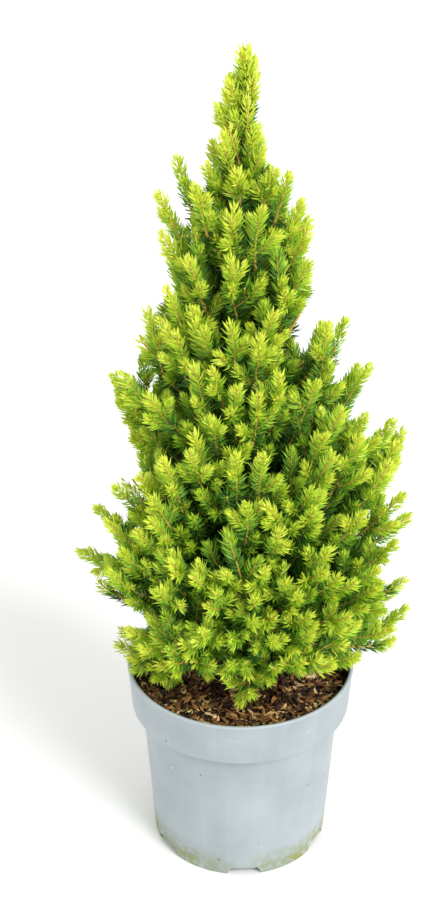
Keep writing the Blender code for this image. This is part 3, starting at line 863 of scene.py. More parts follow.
def planTip():
    # The leader: this year's upright shoot on top of the trunk
    name, _, _, footHeight, tipHeight, _, shootLength, shootRise, part = crownPlan["tipTier"]
    foot = trunkAxis(footHeight) + Vector((0.0, 0.0, boughPlan["gap"]))
    tip = Vector((0.0, 0.0, tipHeight))
    marks = [i / boughPlan["spans"] for i in range(boughPlan["spans"] + 1)]
    points = [foot.lerp(tip - Vector((0.0, 0.0, boughPlan["stemStop"])), mark) for mark in marks]
    radii = np.interp(marks, [0, 1], [trunkPlan["tipRadius"], boughPlan["stemTipRadius"]]).tolist()
    return {
        "name": name + "_mass",
        "stem": (points, radii),
        "bough": None,
        "tip": tip,
        "shootLength": shootLength,
        "shootRise": shootRise,
        "part": part,
    }


# Spaces: each mass keeps to the places that are nearer to its own stem than to any other


def segmentsOf(limbs):
    starts, ends, owners, radii = [], [], [], []
    for owner, (points, sizes) in enumerate(limbs):
        starts += [tuple(point) for point in points[:-1]]
        ends += [tuple(point) for point in points[1:]]
        owners += [owner] * (len(points) - 1)
        radii += list(sizes[:-1])
    rows = {"starts": starts, "ends": ends, "owners": owners, "radii": radii}
    return {name: np.array(row) for name, row in rows.items()}


def distancesTo(places, segments):
    along = segments["ends"] - segments["starts"]
    offset = places[:, None, :] - segments["starts"][None, :, :]
    share = np.clip((offset * along).sum(axis=2) / (along * along).sum(axis=1), 0.0, 1.0)
    return np.linalg.norm(offset - share[:, :, None] * along, axis=2)


def staysInSpace(owner, places, stems, gap):
    away = distancesTo(places, stems)
    own = away[:, stems["owners"] == owner].min(axis=1)
    others = away[:, stems["owners"] != owner].min(axis=1)
    return bool((own + gap < others).all())


def clearsLimbs(places, widths, limbs, gap):
    return bool((distancesTo(places, limbs) - limbs["radii"] - widths[:, None] > gap).all())


def insideCrown(places, inset):
    radius = np.hypot(places[:, 0], places[:, 1])
    reach = crownReach(places[:, 2], np.arctan2(places[:, 1], places[:, 0])) + crownPlan["slack"] - inset
    over = (places[:, 2] > potHeight) & (radius > reach)
    inPot = places[:, 2] < potHeight + 2 * shootPlan["limbGap"]
    touching = inPot & (radius > rimRadius - potPlan["lipDepth"])
    buried = places[:, 2] < soilTop + soilPlan["bump"]
    return not (over | touching | buried).any() and not inOpening(places)


# Growth of the shoots

shootPlan = {
    # radius of a full-length shoot with its needles, of the slimmest, and the full length
    "radius": 0.0140,
    "slimmest": 0.0055,
    "longest": 0.066,
    # the two rings where a shoot is thickest, as shares of its clad length from the tip
    "clad": 0.050,
    "innerRing": 0.66,
    "innerRingShare": 0.92,
    "outerRing": 0.24,
    # how a shoot is tested against its neighbours, and how many tested places there is room for
    "coreShare": 0.3,
    "sides": 4,
    "firstSample": 0.06,
    "samples": 9,
    "limbGap": 0.0008,
    "leastSpace": 0.0035,
    "room": 20000,
    # shoots that fill in are at least this long, and stand closer to upright where the crown is slim
    "leastLength": 0.036,
    "slimCrown": 0.050,
    "innerAngle": math.radians(68),
    "outerAngle": math.radians(38),
    "goldenAngle": math.radians(137.508),
}
# Rounds of growth after the leading shoots. The first has the rule of the solids, and the next ones fill
# in from the stems, the trunk, the boughs, the leader and the thin branches. A negative gap is how far a
# shoot may cross into a neighbour's space. Where it is None, only the crown's outline bounds the shoot.
growthRounds = (
    {
        "limbs": "stems", "first": 0.06, "last": 0.90, "perRound": 9, "rounds": 4,
        "length": 1.0, "lift": 0.0, "shrinks": (1.15, 1.0, 0.85, 0.7, 0.55),
        "crowding": 1.45, "spaceGap": 0.0009, "wholeGirth": True, "inset": 0.0,
    },
    {
        "limbs": "stems", "first": 0.10, "last": 0.92, "perRound": 11, "rounds": 8,
        "length": 1.60, "lift": 0.42, "shrinks": (1.0, 0.86, 0.73, 0.62),
        "crowding": 1.36, "spaceGap": -0.018, "wholeGirth": False, "inset": 0.019,
    },
    {
        "limbs": "trunk", "first": 0.02, "last": 0.98, "perRound": 40, "rounds": 3,
        "length": 1.0, "lift": 0.40, "shrinks": (1.2, 1.0, 0.8, 0.62),
        "crowding": 1.00, "spaceGap": None, "wholeGirth": False, "inset": 0.019,
    },
    {
        "limbs": "boughs", "first": 0.25, "last": 0.98, "perRound": 7, "rounds": 2,
        "length": 1.0, "lift": 0.45, "shrinks": (1.0, 0.8, 0.62),
        "crowding": 1.22, "spaceGap": None, "wholeGirth": False, "inset": 0.019,
    },
    {
        "limbs": "leader", "first": 0.02, "last": 0.90, "perRound": 20, "rounds": 4,
        "length": 1.0, "lift": 0.30, "shrinks": (1.0, 0.85, 0.7, 0.55),
        "crowding": 0.78, "spaceGap": None, "wholeGirth": False, "inset": 0.007,
    },
    {
        "limbs": "branches", "first": 0.40, "last": 1.00, "perRound": 8, "rounds": 3,
        "length": 1.15, "lift": 0.38, "shrinks": (1.2, 1.0, 0.85, 0.7),
        "crowding": 1.26, "spaceGap": None, "wholeGirth": False, "inset": 0.019,
    },
)
sidePlan = {
    "leastParent": 0.038,
    "first": 0.12,
    "last": 0.64,
    "tries": 4,
    "angle": math.radians(50),
    "lift": 0.20,
    "length": 0.52,
    "shorterOutwards": 1.15,
    "shrinks": (1.0, 0.8),
    "crowding": 1.10,
    "spaceGap": -0.018,
    "wholeGirth": False,
    "inset": 0.002,
}
trunkShoots = (
    # part of the crown, from this height, to this height, length, rise
    ("lower", 0.205, 0.36, 0.062, 0.30),
    ("middle", 0.36, 0.52, 0.060, 0.35),
    ("upper", 0.52, 0.64, 0.056, 0.40),
    ("upper", 0.63, 0.70, 0.048, 0.60),
)
# Thin branches up the trunk by the golden angle, which fill the crown between the masses
branchPlan = {
    "count": 48,
    "seed": 8,
    "lowest": 0.208,
    "highest": 0.665,
    "inset": 0.028,
    "spans": 6,
    "rise": (0.02, 0.085),
    "riseEarly": 0.15,
    "riseJitter": 0.006,
    "leastReach": 0.012,
    "shootLength": 0.050,
    "shootRise": 0.30,
    "rootRadius": 0.0020,
    "tipRadius": 0.0010,
    "clad": 0.25,
}

# The leading shoots: turn in degrees, height and reach of each tip, as they stand round the front.
# The back has the same ones, mirrored and shifted a little. A fourth number is a shoot's own rise in
# degrees.
plumeTips = (
    (-60, 0.774, 0.005), (150, 0.770, 0.005), (-40, 0.761, 0.010), (-150, 0.757, 0.015),
    (-160, 0.744, 0.015), (-83, 0.746, 0.014), (-172, 0.737, 0.021), (-127, 0.724, 0.021),
    (-62, 0.722, 0.019), (-50, 0.703, 0.021), (-133, 0.705, 0.024), (-150, 0.692, 0.036),
    (-99, 0.696, 0.039), (-54, 0.694, 0.040), (-39, 0.688, 0.046), (159, 0.687, 0.060),
    (-133, 0.683, 0.059), (-167, 0.667, 0.072), (-77, 0.669, 0.061), (-39, 0.667, 0.059),
    (-102, 0.664, 0.063), (-34, 0.646, 0.063), (-158, 0.636, 0.073), (-100, 0.629, 0.069),
    (-42, 0.619, 0.070), (-143, 0.597, 0.081), (-120, 0.587, 0.082), (-73, 0.586, 0.081),
    (-99, 0.580, 0.083), (-119, 0.578, 0.084), (-158, 0.573, 0.088, 78), (-113, 0.573, 0.085),
    (-30, 0.562, 0.081, 82), (-138, 0.569, 0.088), (-82, 0.569, 0.086), (-130, 0.565, 0.088),
    (-116, 0.544, 0.095), (-106, 0.544, 0.095), (-73, 0.541, 0.096), (-28, 0.526, 0.083, 76),
    (-93, 0.533, 0.100), (-54, 0.529, 0.102), (-84, 0.526, 0.102), (-16, 0.521, 0.112, 62),
    (-160, 0.516, 0.109), (-138, 0.514, 0.109), (-43, 0.502, 0.115), (-111, 0.494, 0.114),
    (-55, 0.489, 0.119), (-32, 0.488, 0.122), (-93, 0.481, 0.119), (-111, 0.480, 0.119),
    (-82, 0.480, 0.120), (-38, 0.477, 0.126), (-53, 0.471, 0.126), (-123, 0.467, 0.121),
    (-11, 0.463, 0.135), (-64, 0.449, 0.132), (-16, 0.449, 0.141), (-26, 0.443, 0.142),
    (-89, 0.442, 0.132), (-127, 0.432, 0.127), (-152, 0.419, 0.124), (-77, 0.417, 0.137),
    (-126, 0.413, 0.132), (-44, 0.412, 0.144), (-21, 0.403, 0.150), (-132, 0.398, 0.134),
    (-59, 0.394, 0.144), (-152, 0.386, 0.133), (-83, 0.385, 0.143), (-96, 0.384, 0.143),
    (-116, 0.384, 0.140), (-170, 0.379, 0.133), (-17, 0.377, 0.154), (-62, 0.376, 0.146),
    (-107, 0.376, 0.143), (-76, 0.374, 0.145), (-139, 0.371, 0.139), (-30, 0.368, 0.153),
    (-57, 0.365, 0.149), (-99, 0.364, 0.146), (-72, 0.358, 0.148), (-41, 0.355, 0.153),
    (-51, 0.353, 0.151), (-119, 0.352, 0.146), (-144, 0.342, 0.145), (-87, 0.340, 0.149),
    (-39, 0.336, 0.153), (180, 0.308, 0.152, 6), (-172, 0.211, 0.119, -2), (-3, 0.254, 0.156, 34),
    (-41, 0.333, 0.152), (-68, 0.331, 0.150), (-104, 0.320, 0.150), (-53, 0.316, 0.151),
    (-67, 0.306, 0.147), (-80, 0.304, 0.146), (-112, 0.298, 0.144), (-140, 0.274, 0.134),
    (-68, 0.272, 0.139), (-95, 0.267, 0.126), (-28, 0.266, 0.152), (-46, 0.263, 0.145),
    (-134, 0.260, 0.130), (-75, 0.256, 0.118), (-89, 0.252, 0.112),
)
plumePlan = {
    "rise": {  # height: degrees above level
        0.19: -6, 0.22: 2, 0.27: 14, 0.32: 26, 0.37: 42, 0.42: 56, 0.50: 63, 0.70: 68, 0.79: 74,
    },
    "length": {  # height: length
        0.19: 0.045, 0.30: 0.060, 0.55: 0.070, 0.66: 0.058, 0.70: 0.036, 0.79: 0.026,
    },
    "riseJitter": 8,
    "lengthJitter": 0.14,
    "tipExtra": 0.0065,
    "backTurn": 9,
    "backHeight": 0.012,
    "backTries": 9,
    "backReach": 0.975,
    # where a copy for the back is held against the open places: share of its reach, and how far down
    "backSpots": ((1.0, 0.0), (0.85, 0.025), (0.70, 0.050)),
    # its branch: spans, how far below the shoot it leaves the trunk, highest foot, and its bend
    "spans": 5,
    "drop": 0.02,
    "slope": 0.5,
    "highestFoot": 0.78,
    "footDepth": 0.8,
    "bendAt": 0.6,
    "bendDrop": 0.12,
    "seed": 5,
}


def shootProfile(length):
    plan = shootPlan
    clad = min(length, plan["clad"])
    radius = plan["slimmest"] + (plan["radius"] - plan["slimmest"]) * min(1.0, length / plan["longest"])
    return (
        (length - plan["innerRing"] * clad, plan["innerRingShare"] * radius),
        (length - plan["outerRing"] * clad, radius),
    )


def shootPlaces(root, tip, spin):
    # Sample places over a shoot's skin, and those along its middle with the radius there
    plan = shootPlan
    length = (tip - root).length
    turn = (tip - root).to_track_quat("Z", "Y").to_matrix().to_4x4()
    grid = np.array(Matrix.Translation(root) @ turn @ Matrix.Rotation(spin, 4, "Z"))
    (inner, innerRadius), (outer, outerRadius) = shootProfile(length)
    marks = np.linspace(plan["firstSample"], 1.0, plan["samples"]) * length
    widths = np.interp(marks, [0.0, inner, outer, length], [0.0, innerRadius, outerRadius, 0.0])
    turns = np.arange(plan["sides"]) * math.tau / plan["sides"]
    rise = np.repeat(marks[:, None], plan["sides"], 1)
    skin = np.stack([np.outer(widths, np.cos(turns)), np.outer(widths, np.sin(turns)), rise], axis=2)
    skin = skin.reshape(-1, 3)
    middle = np.stack([np.zeros(len(marks)), np.zeros(len(marks)), marks], axis=1)
    return skin @ grid[:3, :3].T + grid[:3, 3], middle @ grid[:3, :3].T + grid[:3, 3], widths


def shootFits(owner, root, tip, spin, rule, stems, limbs):
    # Whether a shoot keeps to its space and to the crown, and clears the limbs
    plan = shootPlan
    skin, middle, widths = shootPlaces(root, tip, spin)
    if not rule["wholeGirth"]:
        skin, widths = middle, plan["coreShare"] * widths
    far = np.linalg.norm(skin - np.array(tuple(root)), axis=1) > plan["leastSpace"]
    if not insideCrown(skin[far], rule["inset"]):
        return False
    if rule["spaceGap"] is None:
        return True
    if not staysInSpace(owner, skin[far], stems, rule["spaceGap"]):
        return False
    return clearsLimbs(middle, widths, limbs, plan["limbGap"])


def pointAlong(points, share):
    place = share * (len(points) - 1)
    i = min(int(place), len(points) - 2)
    step = points[i + 1] - points[i]
    return points[i] + (place - i) * step, step.normalized()


def levelAcross(along):
    across = along.cross(Vector((0.0, 0.0, 1.0)))
    return across.normalized() if across.length > 0.01 else Vector((1.0, 0.0, 0.0))


class Thicket:
    # Every shoot so far with its thick places, so that a new one doesn't crowd them
    def __init__(self, stems, limbs):
        self.stems, self.limbs = stems, limbs
        self.shoots = []
        self.places = np.zeros((shootPlan["room"], 4))
        self.makers = np.zeros(shootPlan["room"], int)
        self.count = 0

    def add(self, shoot):
        root, tip = shoot["root"], shoot["tip"]
        for mark, radius in shootProfile((tip - root).length):
            self.places[self.count] = (*root.lerp(tip, mark / (tip - root).length), radius)
            self.makers[self.count] = len(self.shoots)
            self.count += 1
        self.shoots.append(shoot)

    def crowds(self, root, tip, crowding, parent):
        known = self.places[: self.count][self.makers[: self.count] != parent]
        for mark, radius in shootProfile((tip - root).length):
            place = np.array(root.lerp(tip, mark / (tip - root).length))
            away = np.linalg.norm(known[:, :3] - place, axis=1)
            if (away < crowding * (radius + known[:, 3]) / 2).any():
                return True
        return False

    def grow(self, shoot, heading, length, rule, spin=0.0):
        # The shoot gets the first of the rule's lengths that crowds no other and fits, or isn't made
        root, owner = shoot["root"], shoot["limb"]["owner"]
        for shrink in rule["shrinks"]:
            tip = root + shrink * length * heading
            if self.crowds(root, tip, rule["crowding"], shoot.get("parent", -1)):
                continue
            if shootFits(owner, root, tip, spin, rule, self.stems, self.limbs):
                self.add({**shoot, "tip": tip})
                return


def lifted(heading, root, lift):
    # Shoots turn up towards the light
    reach = float(crownReach(root.z, math.atan2(root.y, root.x)))
    share = max(lift, 1.0 - reach / shootPlan["slimCrown"])
    return ((1.0 - share) * heading + share * Vector((0.0, 0.0, 1.0))).normalized()


def growRound(limb, rule, thicket, rng):
    # Shoots leave the limb by the golden angle and lean outwards and up. One that would leave its space,
    # touch a limb or crowd another is shortened or skipped.
    plan = shootPlan
    if rule["wholeGirth"] and not inOpening(np.array([limb["tip"]])):
        end = pointAlong(limb["points"], rule["last"])[0]
        thicket.add({"root": end, "tip": limb["tip"], "limb": limb, "order": 1, "shade": 0.0})
    turn = rng.uniform(0.0, math.tau)
    for i in range(rule["rounds"] * rule["perRound"]):
        share = rule["first"] + (rule["last"] - rule["first"]) * (i % rule["perRound"]) / rule["perRound"]
        root, along = pointAlong(limb["points"], share)
        turn += plan["goldenAngle"]
        side = Matrix.Rotation(turn, 3, along) @ levelAcross(along)
        angle = plan["innerAngle"] + (plan["outerAngle"] - plan["innerAngle"]) * share
        heading = math.cos(angle) * along + math.sin(angle) * side
        heading.z += limb["shootRise"] * (1.0 - abs(heading.z))
        heading.normalize()
        length = rule["length"] * limb["shootLength"] * rng.uniform(0.9, 1.1)
        spin = rng.uniform(0.0, math.tau)
        shade = 0.0
        if not rule["wholeGirth"]:
            heading = lifted(heading, root, rule["lift"])
            length = max(length, plan["leastLength"])
            # Filling shoots take a darker tint, partly painted shade between the leading shoots
            shade = shadePlan["filling"]
        shoot = {"root": root, "limb": limb, "order": 1, "shade": shade}
        thicket.grow(shoot, heading, length, rule, spin)


def growSides(thicket, rng):
    # Side shoots on the longer shoots, by the same golden angle
    plan = sidePlan
    for number, parent in enumerate(list(thicket.shoots)):
        axis = parent["tip"] - parent["root"]
        if axis.length < plan["leastParent"]:
            continue
        along = axis.normalized()
        free = parent["limb"]["owner"] is None
        rule = {**plan, "spaceGap": None if free else plan["spaceGap"]}
        turn = rng.uniform(0.0, math.tau)
        for i in range(plan["tries"]):
            share = plan["first"] + (plan["last"] - plan["first"]) * i / plan["tries"]
            turn += shootPlan["goldenAngle"]
            root = parent["root"] + share * axis
            side = Matrix.Rotation(turn, 3, along) @ levelAcross(along)
            heading = math.cos(plan["angle"]) * along + math.sin(plan["angle"]) * side
            heading = lifted(heading, root, plan["lift"])
            length = plan["length"] * axis.length * (plan["shorterOutwards"] - share) * rng.uniform(0.9, 1.1)
            shade = parent["shade"] + shadePlan["side"]
            shoot = {"root": root, "limb": parent["limb"], "order": 2, "shade": shade}
            shoot.update(parent=number, along=share * axis.length)
            thicket.grow(shoot, heading, length, rule)


def newBranch(points, tip, part, length, rise):
    # A limb that belongs to no mass
    limb = {"points": points, "owner": None, "tip": tip, "part": part}
    return {**limb, "shootLength": length, "shootRise": rise}


def plumePlaces(rng):
    # The leading shoots as listed, and a copy of each for the back where that is free
    plan = plumePlan
    places = list(plumeTips)
    for frontTurn, frontHeight, frontReach, *_ in plumeTips:
        for _ in range(plan["backTries"]):
            turn = -frontTurn + rng.uniform(-1, 1) * plan["backTurn"]
            height = frontHeight + rng.uniform(-1, 1) * plan["backHeight"]
            reach = min(frontReach, plan["backReach"] * float(crownReach(height, math.radians(turn))))
            out = reach * outwardAt(math.radians(turn))
            spots = [(share * out.x, share * out.y, height - down) for share, down in plan["backSpots"]]
            if not inOpening(np.array(spots)):
                places.append((turn, height, reach))
                break
    return places


def planPlumes():
    # The leading shoots, each at the end of its own thin branch from the trunk
    plan = plumePlan
    rng = random.Random(plan["seed"])
    rises, lengths = ([list(side) for side in zip(*plan[key].items())] for key in ("rise", "length"))
    plumes = []
    for turn, height, reach, *ownRise in plumePlaces(rng):
        outward = outwardAt(math.radians(turn))
        rise = float(np.interp(height, *rises)) + rng.uniform(-1, 1) * plan["riseJitter"]
        rise = math.radians(ownRise[0] if ownRise else rise)
        length = float(np.interp(height, *lengths))
        length *= 1.0 + rng.uniform(-1, 1) * plan["lengthJitter"]
        tip = trunkAxis(min(height, trunkPlan["top"])) * Vector((1.0, 1.0, 0.0)) + reach * outward
        tip.z = height
        heading = math.cos(rise) * outward + math.sin(rise) * Vector((0.0, 0.0, 1.0))
        root = tip - length * heading
        tip = tip + plan["tipExtra"] * heading
        across = math.hypot(root.x, root.y)
        low = root.z - plan["drop"] - plan["slope"] * across * math.sin(rise)
        low = max(branchPlan["lowest"], low)
        foot = trunkAxis(min(low, plan["highestFoot"])) + plan["footDepth"] * trunkRadius(low) * outward
        bend = foot.lerp(root, plan["bendAt"])
        bend.z -= plan["bendDrop"] * across
        points = [routePoint(foot, bend, root, k / plan["spans"]) for k in range(plan["spans"] + 1)]
        part = partAt(height)
        plume = newBranch(points, tip, part, branchPlan["shootLength"], branchPlan["shootRise"])
        plumes.append({**plume, "root": root})
    return plumes


def planBranches():
    plan = branchPlan
    rng = random.Random(plan["seed"])
    branches = []
    for i in range(plan["count"]):
        share = i / (plan["count"] - 1)
        height = plan["lowest"] + (plan["highest"] - plan["lowest"]) * share
        turn = i * shootPlan["goldenAngle"]
        outward = outwardAt(turn)
        swell = math.sin(math.pi * min(1.0, share + plan["riseEarly"]))
        top = height + plan["rise"][0] + (plan["rise"][1] - plan["rise"][0]) * swell
        top += rng.uniform(-plan["riseJitter"], plan["riseJitter"])
        reach = max(plan["leastReach"], float(crownReach(top, turn)) - plan["inset"])
        foot = trunkAxis(height) + trunkRadius(height) * outward
        tip = Vector((reach * outward.x, reach * outward.y, top))
        bend = foot + (tip - foot) * boughPlan["bendReach"]
        bend.z = foot.z + boughPlan["bendRise"] * (top - height)
        points = [routePoint(foot, bend, tip, k / plan["spans"]) for k in range(plan["spans"] + 1)]
        branches.append(newBranch(points, tip, partAt(top), plan["shootLength"], plan["shootRise"]))
    return branches


def growingLimbs(masses, branches):
    # What the shoots grow from, by kind of limb
    stems, boughs, trunk = [], [], []
    for owner, mass in enumerate(masses):
        common = {key: mass[key] for key in ("tip", "shootLength", "shootRise", "part")}
        stems.append({**common, "points": mass["stem"][0], "owner": owner})
        if mass["bough"]:
            boughs.append({**common, "points": mass["bough"][0], "owner": None})
    for part, low, high, length, rise in trunkShoots:
        points = [trunkAxis(height) for height in np.linspace(low, high, 12)]
        trunk.append(newBranch(points, None, part, length, rise))
    short = {"owner": None, "shootLength": shootPlan["leastLength"]}
    leader = [{**limb, **short} for limb in (trunk[-1], stems[-1])]
    return {"stems": stems, "boughs": boughs, "trunk": trunk, "leader": leader, "branches": branches}


def growPlant():
    rng = random.Random(crownPlan["seed"])
    masses = [planMass(tier, i, rng) for tier in crownPlan["tiers"] for i in range(tier[1])]
    masses.append(planTip())
    heights = np.linspace(soilTop, trunkPlan["top"], 20)
    trunk = ([trunkAxis(height) for height in heights], [trunkRadius(height) for height in heights])
    limbs = segmentsOf([trunk] + [mass["bough"] for mass in masses if mass["bough"]])
    stems = segmentsOf([mass["stem"] for mass in masses])
    thicket = Thicket(stems, limbs)
    plumes = planPlumes()
    for plume in plumes:
        leading = {"root": plume["root"], "tip": plume["tip"], "limb": plume}
        thicket.add({**leading, "order": 1, "shade": shadePlan["leading"]})
    print("leading shoots:", len(thicket.shoots))
    branches = planBranches() + plumes
    growing = growingLimbs(masses, branches)
    for rule in growthRounds:
        for limb in growing[rule["limbs"]]:
            growRound(limb, rule, thicket, rng)
        print("shoots after the round from the", rule["limbs"], len(thicket.shoots))
    growSides(thicket, rng)
    print("shoots with their side shoots:", len(thicket.shoots))
    return masses, branches, thicket.shoots


# Bark of the trunk and boughs


# How the bark's scales look: their height against width, and the cracks and grain between them
scalePlan = {"squash": 0.6, "crack": 0.28, "level": 0.7, "grainHeight": 0.4, "grainSize": 0.35}


def barkTube(points, radii, plan):
    # A tube round the limb whose skin stands out in scales
    points = [Vector(point) for point in points]
    rows = []
    for start, end, a, b in zip(points, points[1:], radii, radii[1:]):
        count = max(1, round((end - start).length / plan["spacing"]))
        rows += [(start.lerp(end, i / count), a + (b - a) * i / count) for i in range(count)]
    rows.append((points[-1], radii[-1]))
    bm = bmesh.new()
    rings = []
    side = levelAcross((points[1] - points[0]).normalized())
    for i, (centre, radius) in enumerate(rows):
        along = (rows[min(i + 1, len(rows) - 1)][0] - rows[max(i - 1, 0)][0]).normalized()
        side = (side - side.dot(along) * along).normalized()
        across = along.cross(side)
        ring = []
        for k in range(plan["sides"]):
            turn = k * math.tau / plan["sides"]
            out = math.cos(turn) * side + math.sin(turn) * across
            skin = centre + radius * out
            spot = Vector((skin.x, skin.y, scalePlan["squash"] * skin.z))
            nearest = noise.voronoi(spot / plan["flake"])[0]
            crack = min(1.0, (nearest[1] - nearest[0]) / scalePlan["crack"])
            grain = noise.noise(skin / (scalePlan["grainSize"] * plan["flake"]))
            bump = crack - scalePlan["level"] + scalePlan["grainHeight"] * grain
            ring.append(bm.verts.new(skin + plan["relief"] * bump * out))
        rings.append(ring)
    for low, high in zip(rings, rings[1:]):
        for k in range(plan["sides"]):
            j = (k + 1) % plan["sides"]
            bm.faces.new((low[k], low[j], high[j], high[k]))
    bm.faces.new(reversed(rings[0]))
    bm.faces.new(rings[-1])
    bmesh.ops.recalc_face_normals(bm, faces=bm.faces)
    return bm


def makeBark(masses):
    heights = np.linspace(soilTop + boughPlan["gap"], trunkPlan["top"], trunkPlan["marks"])
    heights = np.concatenate([heights[0] + np.array(trunkPlan["flareMarks"]), heights[2:]])
    radii = [trunkRadius(height) for height in heights]
    trunk = barkTube([trunkAxis(height) for height in heights], radii, trunkPlan)
    finish = barkFinish("spruceBark", *trunkPlan["bark"], trunkPlan["grainMm"])
    obj = newObject("trunk_bark", meshOf(trunk, "trunk_bark", 60), finish)
    settle(obj, "bark", "trunk")
    whole = bmesh.new()
    names = []
    for mass in masses:
        if mass["bough"]:
            part = meshOf(barkTube(*mass["bough"], boughPlan), "bough")
            whole.from_mesh(part)
            bpy.data.meshes.remove(part)
            names.append(mass["name"].replace("mass", "bough"))
    obj = newObject("bough_bark", meshOf(whole, "bough_bark", 60), finish)
    settle(obj, "bark", *names)
    print("bark made")


# Twigs and needles

twigPlan = {
    "colour": "#e0b858",
    "sides": 5,
    "rootRadius": 0.00130,
    "tipRadius": 0.00045,
    "stepLength": 0.006,
    "tuft": 0.0052,
    "leastShare": 0.45,
    "sideThickness": 0.8,
    "sag": 0.06,
    "turnUp": 0.26,
    "turnUpSlack": 0.004,
    "turnUpTries": (1.0, 0.6, 0.3, 0.0),
    "sideBend": 0.04,
    "stemClad": 0.30,
    "trunkCladFrom": 0.60,
    "trunkCladPoints": 12,
    "trunkCladRadius": 0.0008,
    "branchAge": 0.02,
    "trunkAge": 0.03,
}
needlePlan = {
    "spacing": 0.00043,
    "length": 0.0128,
    "width": 0.00150,
    "widestAt": 0.42,
    "bow": -0.75,
    "lean": math.radians(60),
    "youngLean": math.radians(40),
    "tipLean": math.radians(8),
    "oldFrom": 0.026,
    "oldTo": 0.062,
    "leanScatter": 0.17,
    "spinScatter": 0.9,
    "tuftDepth": 0.013,
    "domeDepth": 0.008,
    "tipSize": 0.50,
    "tipBreadth": 1.35,
    "broadDepth": 0.022,
    "scatter": 0.15,
    "lengthScatter": (0.76, 1.10),
    "seed": 11,
}
# How dark a needle's tint is: 0 is this year's tip and 1 is deep inside. It darkens with age along
# the twig, and with depth into the crown and on the filling shoots, partly older needles, partly painted
# shade
shadePlan = {
    "fade": 0.62,
    "fadeLength": 0.054,
    "fadeCurve": 0.8,
    # depth into the crown darkens the tint: older needles, and partly painted shade of the crown's inside
    "inner": 0.60,
    "innerStart": 0.012,
    "innerDepth": 0.095,
    "perShoot": 0.09,
    "leading": -0.03,
    # the filling shoots between the leading ones are darker: partly older, partly painted shade
    "filling": 0.11,
    "side": 0.03,
    "onStem": 0.30,
    # The lower crown is a darker green
    "low": 0.18,
    "lowFrom": 0.44,
    "lowTo": 0.26,
    # The leader is younger
    "leader": 0.26,
    "leaderFrom": 0.66,
    "leaderTo": 0.71,
}
needleTints = (
    ("limeTip", "#d8e54a", 0.00, 0.15),
    ("yellowGreen", "#c0da3c", 0.15, 0.29),
    ("freshGreen", "#a8cc38", 0.29, 0.43),
    ("midGreen", "#8aba34", 0.43, 0.58),
    ("deepGreen", "#629828", 0.58, 0.75),
    ("oldBlueGreen", "#3d6c24", 0.75, 9.00),
)


def shadeOf(place, fromTip, offset):
    plan = shadePlan
    reach = float(crownReach(place.z, math.atan2(place.y, place.x)))
    # Needles deeper inside the outline get darker tints, partly as painted shade of the crown's inside
    inner = (reach - math.hypot(place.x, place.y) - plan["innerStart"]) / plan["innerDepth"]
    age = min(1.0, fromTip / plan["fadeLength"])
    low = (plan["lowFrom"] - place.z) / (plan["lowFrom"] - plan["lowTo"])
    shade = plan["fade"] * age ** plan["fadeCurve"] + plan["inner"] * min(1.0, max(0.0, inner))
    leader = (place.z - plan["leaderFrom"]) / (plan["leaderTo"] - plan["leaderFrom"])
    shade -= plan["leader"] * min(1.0, max(0.0, leader)) * age
    return shade + plan["low"] * min(1.0, max(0.0, low)) * age + offset


class Lines:
    # Polylines in one mesh, with what each point carries
    def __init__(self):
        self.points, self.edges = [], []
        self.radius, self.fromTip, self.shade, self.clad = [], [], [], []

    def add(self, points, radii, fromTips, offset, clads):
        first = len(self.points)
        for i, (point, radius, fromTip, clad) in enumerate(zip(points, radii, fromTips, clads)):
            self.points.append(tuple(point))
            self.radius.append(radius)
            self.fromTip.append(fromTip)
            self.shade.append(shadeOf(point, fromTip, offset))
            self.clad.append(clad)
            if i:
                self.edges.append((first + i - 1, first + i))

    def object(self, name):
        mesh = bpy.data.meshes.new(name)
        mesh.from_pydata(self.points, self.edges, [])
        for label in ("radius", "fromTip", "shade", "clad"):
            layer = mesh.attributes.new(label, "FLOAT", "POINT")
            layer.data.foreach_set("value", np.array(getattr(self, label), np.float32))
        return newObject(name, mesh)


def shortened(points, reach):
    # The first part of a limb, as far as this distance from its foot. Its last two points stay apart.
    kept = [points[0]]
    for start, end in zip(points, points[1:]):
        near, far = (start - points[0]).length, (end - points[0]).length
        if far > reach:
            kept.append(start.lerp(end, max(0.05, (reach - near) / (far - near))))
            break
        kept.append(end)
    return kept


